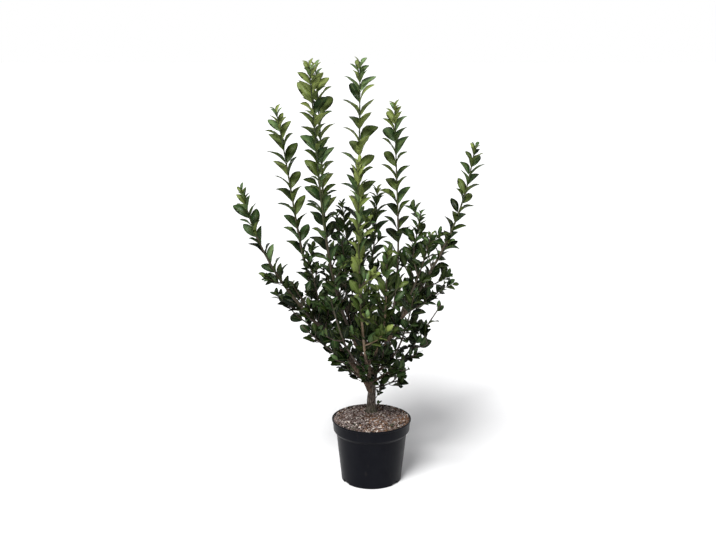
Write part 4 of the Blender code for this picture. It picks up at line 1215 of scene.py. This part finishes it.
def grow_spurs(carrier, start, chance, seed):
    """Spurs along a carrier, from a share of its length up to a height.

    They crowd round the fork, and low down more of them turn to the front.
    """
    draw = random.Random(seed)
    count = int(carrier.path.length * (1.0 - start) / SPUR_STEP)
    for k in range(count):
        share = start + (1.0 - start) * (k + draw.random()) / count
        bearing = draw.uniform(0.0, math.tau)
        length = draw.uniform(*SPUR_LENGTHS)
        leaf = SPUR_LEAF * draw.uniform(*SPUR_LEAF_RANGE)
        phase = draw.uniform(0.0, math.pi)
        place, way = carrier.path.at(share), carrier.path.heading(share)
        fading = 1.0 - max(0.0, (place.z - SPUR_FADE_FROM) / (SPUR_CEILING - SPUR_FADE_FROM))
        crowding = math.exp(-(((place - fork).length / FORK_SPREAD) ** 2))
        if draw.random() < FRONT_CHANCE and place.z < FRONT_BELOW and side_way(way, bearing).y > 0.0:
            bearing += math.pi
        if place.z > SPUR_CEILING or draw.random() > chance * fading + crowding:
            continue
        curve = twig_curve(place, way, bearing, length)
        if not within_reach(curve.at(1.0)):
            continue
        if obstacles.touches_line(curve, SPUR_RADII[0] + SPUR_TEST_SWELL, carrier.key, SPUR_TEST_START):
            continue
        key, spray = ("spur", seed * 1000 + k), carrier.spray + 0.01 * (k + 1)
        spurs.append(grow_twig(key, curve, SPUR_RADII, leaf, phase, draw, spray))


def bare_carrier(name, path, radii, spray):
    """A bough or the trunk, which carries spurs but no leaves of its own."""
    return Carrier((name, "bough"), path, radii, 0.0, 0.0, None, spray)


spurs = []
for number, carrier in enumerate(carriers):
    chance = SPUR_CHANCES.get(carrier.key[0], SPUR_CHANCE)
    grow_spurs(carrier, STEM_SPURS_FROM, chance, STEM_SPURS + number)
for shoot in boughs:
    shares = shoot.path.shares(0.0, shoot.bare, STEM_STEP)
    bough = bare_carrier(shoot.name, Path(shoot.path.at(shares)), shoot.radius_at(shares), shoot.number)
    chance = BOUGH_CHANCE / SPUR_CHANCE * SPUR_CHANCES.get(shoot.name, SPUR_CHANCE)
    grow_spurs(bough, BOUGH_SPURS_FROM, chance, BOUGH_SPURS + shoot.number)
trunk = bare_carrier(TRUNK, trunk_path, trunk_radii, len(shoots))
grow_spurs(trunk, TRUNK_SPURS_FROM, TRUNK_CHANCE, TRUNK_SPURS)
for row, (share, bearing, lean, length, leaf) in enumerate(SUCKERS):
    bearing = math.radians(bearing)
    root = trunk_path.at(share) + leaning(bearing, 90) * (SET_INTO_STEM * trunk.radius_at(share))
    start, end = leaning(bearing, lean), leaning(bearing, SUCKER_TIP_LEAN)
    tip = root + (start + end) * (0.5 * length)
    curve = bezier(root, start, tip, end, TWIG_HANDLE, TWIG_HANDLE, TWIG_POINTS)
    draw, spray = random.Random(SUCKER_DRAWS + row), trunk.spray + 0.01 * (row + 1)
    spurs.append(Carrier(("sucker", row), curve, [SPUR_RADII[0]], leaf, 0.4 + row, draw, spray))
before = len(leaves)
skipped = sum(grow_leaves(spur, SPUR_SPACING, SPUR_LEAVES) for spur in spurs)
print("finer growth:", len(spurs), "spurs,", len(leaves) - before, "leaves,", skipped, "skipped")

# %% [markdown]
# ## The leaves
# A privet leaf is an oval blade that tapers to its stalk and to a pointed tip. It is
# folded a little along its paler midrib, arches outward, and its edge may wave. One
# closed shape of 47 points is bent into all of these by formula, for all leaves at once.

# %% Leaves: the blade as a formula
ROWS_U = np.array([0.0, 0.06, 0.14, 0.28, 0.46, 0.66, 0.83, 0.94, 1.0])
COLUMNS_V = np.array([1.0, 0.085, -0.085, -1.0, 0.0])
UNDER_SIDE = np.array([0.0, 0.0, 0.0, 0.0, 1.0])
BLADE_POINTS = len(ROWS_U) * len(COLUMNS_V) + 2
STALK_SHARE = 0.06
STALK_HALF_WIDTH = 0.014
STALK_THICKNESS = 0.012
NARROW = 0.03
TIP_FROM = 0.9
TIP_HALF_WIDTH = 0.004
TIP_POINT = (1.004, -0.11)
OVAL_POWER = 0.78
BLADE_THICKNESS = 0.00035
WAVES = 9.0


def blade_half_width(u, half):
    """Half the width at u: half * (4 t (1 - t))^0.78 beyond the stalk, t running 0 to 1."""
    t = np.clip((u - STALK_SHARE) / (1.0 - STALK_SHARE), 0.0, 1.0)
    blade = half * (4.0 * t * (1.0 - t)) ** OVAL_POWER
    return np.maximum(blade, np.where(u > TIP_FROM, TIP_HALF_WIDTH, STALK_HALF_WIDTH))


def blades(matrices, half, bend, fold, wave, phase):
    """The points of all blades: (leaves, 47, 3), from arrays with one value for each leaf.

    In the leaf's own frame x runs along the rib, y across and z out of the upper side:
    x = u, y = width(u) v, z = bend (0.45 u - 0.56 u^2) + fold |y|^1.2
    + wave v^2 sin(9 u + phase), and the under side lies a thickness below.
    """
    half, bend, fold, wave, phase = (each[:, None, None] for each in (half, bend, fold, wave, phase))
    length = np.linalg.norm(matrices[:, :3, 0], axis=1)[:, None, None]
    u, v = ROWS_U[:, None], COLUMNS_V
    width = blade_half_width(u, half)
    y = width * v
    z = bend * (0.45 * u - 0.56 * u**2) + fold * np.abs(y) ** 1.2
    z = z + wave * v**2 * np.sin(WAVES * u + phase) * (width / half)
    z = z - UNDER_SIDE * np.where(width > NARROW, BLADE_THICKNESS / length, STALK_THICKNESS)
    grid = np.stack(np.broadcast_arrays(u, y, z), -1).reshape(len(matrices), -1, 3)
    poles = np.zeros((len(matrices), 2, 3))
    poles[:, 1, 0] = TIP_POINT[0]
    poles[:, 1, 2] = TIP_POINT[1] * bend[:, 0, 0]
    grid = np.concatenate([grid, poles], 1)
    return np.einsum("nij,npj->npi", matrices[:, :3, :3], grid) + matrices[:, None, :3, 3]


print("a blade has", BLADE_POINTS, "points")

# %% [markdown]
# New leaves at the tips are yellow-green and thin; they darken and gloss over as they
# age. Low and inside the bush the tints are nearly black-green: partly older leaves and
# partly painted shade. Each spray of leaves gets its own shade, with a little scatter,
# from a scale of plain tints, olive or blue in hue. The rib and the under side are paler.
# The blade's veins are a fine bump on its own map.

# %% Leaves: tints
TONES = 6
HUES = {"olive": (1.04, 1.02, 0.80), "blue": (0.78, 0.97, 1.15)}
TINTS = TONES * len(HUES)
SCALE_TONES = (0.0, 0.5, 1.0)
# The darkest green stands partly for old leaves and partly for painted shade deep in the bush.
SCALE_GREENS = np.array([[0.0042, 0.0105, 0.0012], [0.0450, 0.0765, 0.0170], [0.2100, 0.2680, 0.0880]])
VEIN_SLANT = -0.35
VEIN_RATE = 60.0
VEIN_DISTANCE = 0.0003

# Sides of a leaf. Each row: name, share kept of the green, pale tint that is added, its
# share in the darkest tone and its growth to the lightest, roughness and its growth, vein depth.
LEAF_SIDES = (
    ("upper", 1.00, (0.000, 0.000, 0.000), 0.00, 0.00, 0.25, 0.06, 0.35),
    ("rib", 0.50, (0.150, 0.175, 0.070), 0.25, 0.45, 0.45, 0.00, 0.00),
    ("under", 0.70, (0.090, 0.105, 0.032), 0.20, 0.50, 0.60, 0.00, 0.45),
)


def leaf_finish(name, colour, roughness, vein_depth):
    """A plain tint with veins as a bump: sin(60 (u - 0.35 |v|)) on the leaf's own map."""
    finish = Finish(name, colour, roughness, 0.15)
    place = finish.add("UVMap", {}, uv_map="place")
    away = finish.maths("ABSOLUTE", finish.axis(place, "Y"))
    slant = finish.maths("MULTIPLY_ADD", away, VEIN_SLANT, finish.axis(place, "X"))
    veins = finish.maths("SINE", finish.maths("MULTIPLY", slant, VEIN_RATE))
    finish.bump(veins, vein_depth, VEIN_DISTANCE)
    return finish.material


leaf_paints = []
for side, kept, pale, least, more, rough, rougher, veins in LEAF_SIDES:
    for hue, shift in HUES.items():
        for k, tone in enumerate(np.linspace(0.0, 1.0, TONES)):
            green = np.array([np.interp(tone, SCALE_TONES, SCALE_GREENS[:, c]) for c in range(3)]) * shift
            colour = green * kept + np.array(pale) * (least + more * tone)
            name = f"leaf_{side}_{hue}_{k + 1}"
            leaf_paints.append(leaf_finish(name, tuple(colour), rough + rougher * tone, veins))
print("leaf finishes:", len(leaf_paints))

# %% [markdown]
# A leaf's tone follows its height, its age, its shoot and its spray. The darkening lower
# down is partly age and partly painted shade for the inside of the bush. The front shoots
# are the lightest. Low leaves are broader and flatter than those in the light.

# %% Leaves: deal out the tints
LIGHT_FRONT = ("centre_front", "front_high")
LIGHT_SHOOTS = {"centre_front": 0.46, "front_high": 0.34, "far_left": 0.06, "top_left_front": 0.06}
DARKEST, CLIMB_TONE, CLIMB_POWER, UNDER_TONE = 0.14, 0.52, 1.1, 0.07
YOUNG_TONE, YOUNG_LOW = 0.28, 0.35
SPRAY_SHADE, SCATTER_LOW, SCATTER_CLIMB = 0.12, 0.11, 0.06
OLIVE_LOW, OLIVE_CLIMB, OLIVE_FRONT = 0.22, 0.50, 0.70
HALF_WIDTH, LOW_BROADER, LOW_STRAIGHTER, LOW_FLATTER = 0.212, 0.085, 0.35, 0.5
BLADE_DRAWS = {
    "half": (0.92, 1.08), "bend": (0.45, 1.10), "fold": (0.35, 0.95),
    "wave": (0.0, 0.035), "phase": (0.0, math.tau),
}
# Heights over which a share runs from 0 to 1. Each pair: where it starts, and how far it runs.
CLIMB = (0.48, 0.62)
UNDER_BUSH = (0.50, -0.10)
LIT_SHOOTS = (0.43, 0.08)
BROADER = (0.72, -0.24)
OLIVE = (0.45, 0.60)

matrices = np.array([np.array(leaf.matrix) for leaf in leaves])
height = matrices[:, 2, 3]
growth = np.array([leaf.growth for leaf in leaves])
owners = np.array([int(leaf.spray) for leaf in leaves])
count = len(leaves)


def share_of(span):
    """How far each leaf is up (or down) a span of height, held to 0 to 1."""
    return np.clip((height - span[0]) / span[1], 0.0, 1.0)


spray_draw = random.Random(SEED + 7)
spray_shade = {}
shade, scatter = np.zeros(count), np.zeros(count)
for number, leaf in enumerate(leaves):
    if leaf.spray not in spray_shade:
        spray_shade[leaf.spray] = around(spray_draw, 0.0, SPRAY_SHADE)
    shade[number] = spray_shade[leaf.spray]
    scatter[number] = spray_draw.gauss(0.0, 1.0)
shoot_light = np.array([LIGHT_SHOOTS.get(shoot.name, 0.0) for shoot in shoots] + [0.0])
# Darker toward the bottom: partly older leaves, partly painted shade inside the bush.
climb = share_of(CLIMB)
tones = DARKEST + CLIMB_TONE * climb**CLIMB_POWER + UNDER_TONE * share_of(UNDER_BUSH)
tones += YOUNG_TONE * (1.0 - growth) * (YOUNG_LOW + (1.0 - YOUNG_LOW) * climb)
tones += shade + shoot_light[owners] * share_of(LIT_SHOOTS)
tones += scatter * (SCATTER_LOW + SCATTER_CLIMB * climb)
steps = np.minimum((np.clip(tones, 0.0, 1.0) * TONES).astype(int), TONES - 1)

draw = np.random.default_rng(SEED)
low = share_of(BROADER)
drawn = {name: draw.uniform(*ends, count) for name, ends in BLADE_DRAWS.items()}
drawn["half"] *= HALF_WIDTH + LOW_BROADER * low
drawn["bend"] *= 1.0 - LOW_STRAIGHTER * low
drawn["fold"] *= 1.0 - LOW_FLATTER * low
points = blades(matrices, **drawn)
light_owners = [shoot.number for shoot in shoots if shoot.name in LIGHT_FRONT]
olive_share = OLIVE_LOW + OLIVE_CLIMB * share_of(OLIVE)
olive_share[np.isin(owners, light_owners)] = OLIVE_FRONT
steps += TONES * (draw.uniform(0.0, 1.0, count) >= olive_share)
print("tones from", round(float(tones.min()), 2), "to", round(float(tones.max()), 2))

# %% Leaves: make the pieces, in three bands of height
HIGH_FROM, MIDDLE_FROM = 0.62, 0.48
COLUMN_SIDES = (0, 1, 0, 2, 2)

blade_quads, blade_triangles = ring_faces(len(ROWS_U), len(COLUMNS_V))
quad_sides = np.tile(COLUMN_SIDES, len(ROWS_U) - 1) * TINTS
triangle_sides = np.tile(COLUMN_SIDES, 2) * TINTS
grid_places = np.stack(np.meshgrid(ROWS_U, COLUMNS_V, indexing="ij"), -1).reshape(-1, 2)
blade_places = np.concatenate([grid_places, [[0.0, 0.0], [1.0, 0.0]]])
bands = {
    "leaves_high": height >= HIGH_FROM,
    "leaves_middle": (height >= MIDDLE_FROM) & (height < HIGH_FROM),
    "leaves_low": height < MIDDLE_FROM,
}
for name, chosen in bands.items():
    number, step = chosen.sum(), steps[chosen][:, None]
    quads, triangles = (repeated(faces, number, BLADE_POINTS) for faces in (blade_quads, blade_triangles))
    slots = np.concatenate([(quad_sides + step).ravel(), (triangle_sides + step).ravel()])
    places = np.tile(blade_places, (number, 1))
    piece = make_piece(name, points[chosen], quads, triangles, leaf_paints, slots, places)
    if name == "leaves_low":
        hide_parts(*["foliage_" + shoot.name for shoot in shoots])

# %% [markdown]
# ## Stems, twigs and spurs
# The leafy stems start brown, like the boughs, and turn olive and then green toward
# their tips; the lowest part of the light front shoots is pale. They swell a little at
# each pair of leaves. Thin tubes this long are given plain tints, one to each stretch,
# because a pattern would be lost on them.

# %% Stems: tubes with swollen nodes
STEM_TINTS = {
    "stem_brown": (0.052, 0.037, 0.026),
    "stem_tan": (0.060, 0.047, 0.028),
    "stem_olive": (0.066, 0.070, 0.028),
    "stem_green": (0.046, 0.060, 0.027),
    "stem_pale": (0.200, 0.140, 0.090),
}
PALE_STEM = len(STEM_TINTS) - 1
PALE_STEM_BELOW = 0.52
BROWN_BELOW, GREENING_HEIGHT = 0.35, 0.75
TUBE_STEP = 0.006
STRETCH = 0.16
NODE_SWELL, NODE_LENGTH = 0.22, 0.003
THICK_TUBE = (8, 0.88)
SPUR_TUBE = (5, 1.0)


def stem_finish(name, colour):
    """Smooth young bark with fine lengthwise grain as a bump."""
    finish = Finish(name, colour, 0.6, 0.35)
    finish.bump(finish.noise(finish.space((1.0, 1.0, 0.2)), 700.0, 3.0), 0.5, 0.0003)
    return finish.material


def add_tube(carrier, columns, thinner):
    """A tube round a carrier: its radius swells by a fifth at each pair of leaves."""
    path = carrier.path
    shares = path.shares(0.0, 1.0, TUBE_STEP)
    radii = thinner * carrier.radius_at(shares)
    nodes = leaf_nodes(path.length, carrier.leaf)
    pairs = np.array([1.0 - distance / path.length for distance, _, _ in nodes])
    if len(pairs):
        away = np.abs(shares[:, None] - pairs).min(1) * path.length
        radii = radii * (1.0 + NODE_SWELL * np.exp(-((away / NODE_LENGTH) ** 2)))
    centres = path.at(shares)
    root, tip = centres[0], centres[-1]
    greening = np.clip(((root[2] + tip[2]) / 2 - BROWN_BELOW) / GREENING_HEIGHT, 0.0, 0.999)
    slot = int(greening * PALE_STEM)
    if carrier.key[0] in LIGHT_FRONT and root[2] < PALE_STEM_BELOW:
        slot = PALE_STEM
    stem_tubes.add(ring_grid(centres, radii, columns), root, tip, slot)


def stretches(carrier):
    """Cut a long stem into stretches that meet end to end, each with its own tint."""
    length = carrier.path.length
    parts = max(1, math.ceil(length / STRETCH))
    for k in range(parts):
        shares = np.linspace(k / parts, (k + 1) / parts, 1 + math.ceil(length / parts / TUBE_STEP))
        yield carrier._replace(path=Path(carrier.path.at(shares)), radii=carrier.radius_at(shares))


stem_paints = [stem_finish(name, colour) for name, colour in STEM_TINTS.items()]
stem_tubes = Gathered()
for carrier in carriers:
    for part in stretches(carrier):
        add_tube(part, *THICK_TUBE)
for spur in spurs:
    add_tube(spur, *SPUR_TUBE)
stem_piece = stem_tubes.make("leafy_stems", stem_paints)

# %% [markdown]
# ## Loose bits on the compost
# What makes compost look real is what lies on it: fibres, bark chips and crumbs, in
# mauve-grey, brown, rust and straw. Each kind is one joined mesh, scattered by a seeded
# draw and settled onto the height field. A heap of chips lies against the rim at the back.

# %% Loose bits: finishes and places
BIT_TINTS = {
    # The near-black bits are partly dark compost and partly painted shade standing for holes between the
    # bits.
    "bit_dark": (0.014, 0.009, 0.007),
    "bit_brown": (0.068, 0.040, 0.027),
    "bit_mauve": (0.235, 0.186, 0.175),
    "bit_rust": (0.190, 0.100, 0.055),
    "bit_straw": (0.600, 0.535, 0.485),
    "bit_moss": (0.085, 0.100, 0.055),
}
DARK, BROWN, MAUVE, RUST, STRAW, MOSS = range(len(BIT_TINTS))
MOSS_CHANCE, RUST_CHANCE = 0.18, 0.50
BROWN_UP_TO, DARK_UP_TO, MAUVE_UP_TO = 0.34, 0.60, 0.86
WARM_PATCH, WARM_SEED = 0.09, 21
WARM_LEFT, WARM_RIGHT, WARM_REACH = 0.35, 0.9, 0.10
WARM_FRONT, FRONT_HALF_WIDTH, FRONT_FROM = 0.6, 0.03, -0.04
MOSS_ASIDE, MOSS_HALF_WIDTH, MOSS_FROM = 0.065, 0.022, -0.055
CLEAR_OF_TRUNK = 0.017

bit_paints = []
for name, colour in BIT_TINTS.items():
    bit = Finish(name, colour, 0.9, 0.2)
    bit.bump(bit.noise(bit.space(), 900.0, 2.0), 0.6, 0.0004)
    bit_paints.append(bit.material)


def polar(radius, turn):
    """Points on the ground: (radius cos turn, radius sin turn, 0)."""
    return np.stack([radius * np.cos(turn), radius * np.sin(turn), 0.0 * turn], -1)


def scatter_over(count, draw, widest):
    """Places spread evenly over the compost: radius = widest sqrt(draw), any angle."""
    radius = widest * np.sqrt(draw.uniform(0.0, 1.0, count))
    place = polar(radius, draw.uniform(0.0, math.tau, count))
    place = place[np.linalg.norm((place - TRUNK_FOOT)[:, :2], axis=1) > CLEAR_OF_TRUNK]
    place[:, 2] = dome(np.linalg.norm(place[:, :2], axis=1)) + crumbs(place)
    return place


def deal_tints(place, draw):
    """A tint for each place: rust gathers to the right and front, moss at the front edge."""
    x, y = place[:, 0], place[:, 1]
    front = np.exp(-((x / FRONT_HALF_WIDTH) ** 2)) * (y < FRONT_FROM)
    right = np.clip(x / WARM_REACH, 0.0, 1.0)
    warm = 0.5 + 0.5 * ripple(place * [1, 1, 0], WARM_SEED, WARM_PATCH)
    warm = warm * (WARM_LEFT + WARM_RIGHT * right + WARM_FRONT * front)
    mossy = (np.abs(np.abs(x) - MOSS_ASIDE) < MOSS_HALF_WIDTH) & (y < MOSS_FROM)
    chance = draw.uniform(0.0, 1.0, len(place))
    choices = {
        MOSS: mossy & (chance < MOSS_CHANCE),
        RUST: chance < RUST_CHANCE * warm,
        BROWN: chance < BROWN_UP_TO,
        # Near-black bits: partly dark compost, partly painted shade for holes.
        DARK: chance < DARK_UP_TO,
        MAUVE: chance < MAUVE_UP_TO,
    }
    return np.select(list(choices.values()), list(choices), default=STRAW)


print("bit finishes:", len(bit_paints))

# %% Loose bits: chips and fibres
ROUGH_BITS = (0.7, 1.25)
BIT_TILT = 0.30
CHIP_COUNT, CHIP_REACH = 2300, 0.107
CHIP_LEAST, CHIP_MORE, CHIP_POWER = 0.0011, 0.0021, 1.6
CHIP_FLATNESS, HEAP_FLATNESS = 0.50, 0.85
HEAP_COUNT = 260
HEAP_BEARINGS = (8.0, 160.0)
HEAP_RADII = (0.100, 0.1085)
HEAP_RISE = (-0.0025, 0.0016)
HEAP_SIZES = (0.0014, 0.0030)
CHIP_STRETCH, HEAP_STRETCH = (1.0, 2.2), (1.0, 1.6)
FIBRE_COUNT, FIBRE_REACH, FIBRE_LIFT = 1500, 0.106, 0.0008
FIBRE_SIZES, FIBRE_STRETCH, FIBRE_FLATNESS = (0.0004, 0.0008), (6.0, 16.0), 0.8


def add_bits(name, place, size, stretch, flatness, rows, columns, seed):
    """Small lumps: ellipsoids with random axes, roughened, laid at random bearings.

    Point (a, b) = size * (stretch sin a cos b, sin a sin b, flatness cos a), times
    a draw near 1 for each point, then tilted and turned.
    """
    draw = np.random.default_rng(seed)
    count = len(place)
    a = np.linspace(0.0, math.pi, rows + 2)[1:-1]
    ball = turned_grid(np.sin(a), -np.cos(a), columns).reshape(-1, 3)
    ball = np.concatenate([ball, [[0.0, 0.0, -1.0], [0.0, 0.0, 1.0]]])
    lumps = ball * draw.uniform(*ROUGH_BITS, (count, len(ball), 1))
    lumps = lumps * np.stack([size * stretch, size, size * flatness], -1)[:, None]
    turn = draw.uniform(0.0, math.tau, count)[:, None]
    tilt = draw.normal(0.0, BIT_TILT, count)[:, None]
    x, y, z = np.moveaxis(lumps, -1, 0)
    x, z = x * np.cos(tilt) - z * np.sin(tilt), x * np.sin(tilt) + z * np.cos(tilt)
    x, y = x * np.cos(turn) - y * np.sin(turn), x * np.sin(turn) + y * np.cos(turn)
    faces = ring_faces(rows, columns)
    tints = deal_tints(place, draw)
    slots = np.concatenate([np.repeat(tints, len(each)) for each in faces])
    quads, triangles = (repeated(each, count, len(ball)) for each in faces)
    points = np.stack([x, y, z], -1) + place[:, None]
    piece = make_piece(name, points, quads, triangles, bit_paints, slots, smooth=False)


draw = np.random.default_rng(90)
heap_turn = np.radians(draw.uniform(*HEAP_BEARINGS, HEAP_COUNT))
heap = polar(draw.uniform(*HEAP_RADII, HEAP_COUNT), heap_turn)
heap[:, 2] = POT_HEIGHT + draw.uniform(*HEAP_RISE, HEAP_COUNT)
heap_size = draw.uniform(*HEAP_SIZES, HEAP_COUNT)
chips = scatter_over(CHIP_COUNT, draw, CHIP_REACH)
chip_size = CHIP_LEAST + CHIP_MORE * draw.uniform(0.0, 1.0, len(chips)) ** CHIP_POWER
chip_stretch = draw.uniform(*CHIP_STRETCH, len(chips))
heap_stretch = draw.uniform(*HEAP_STRETCH, HEAP_COUNT)
add_bits(
    "bark_chips", np.concatenate([chips, heap]), np.concatenate([chip_size, heap_size]),
    np.concatenate([chip_stretch, heap_stretch]),
    np.repeat([CHIP_FLATNESS, HEAP_FLATNESS], [len(chips), HEAP_COUNT]), 3, 6, 91,
)
fibres = scatter_over(FIBRE_COUNT, draw, FIBRE_REACH) + [0.0, 0.0, FIBRE_LIFT]
fibre_size = draw.uniform(*FIBRE_SIZES, len(fibres))
fibre_stretch = draw.uniform(*FIBRE_STRETCH, len(fibres))
add_bits("fibres", fibres, fibre_size, fibre_stretch, FIBRE_FLATNESS, 3, 5, 92)
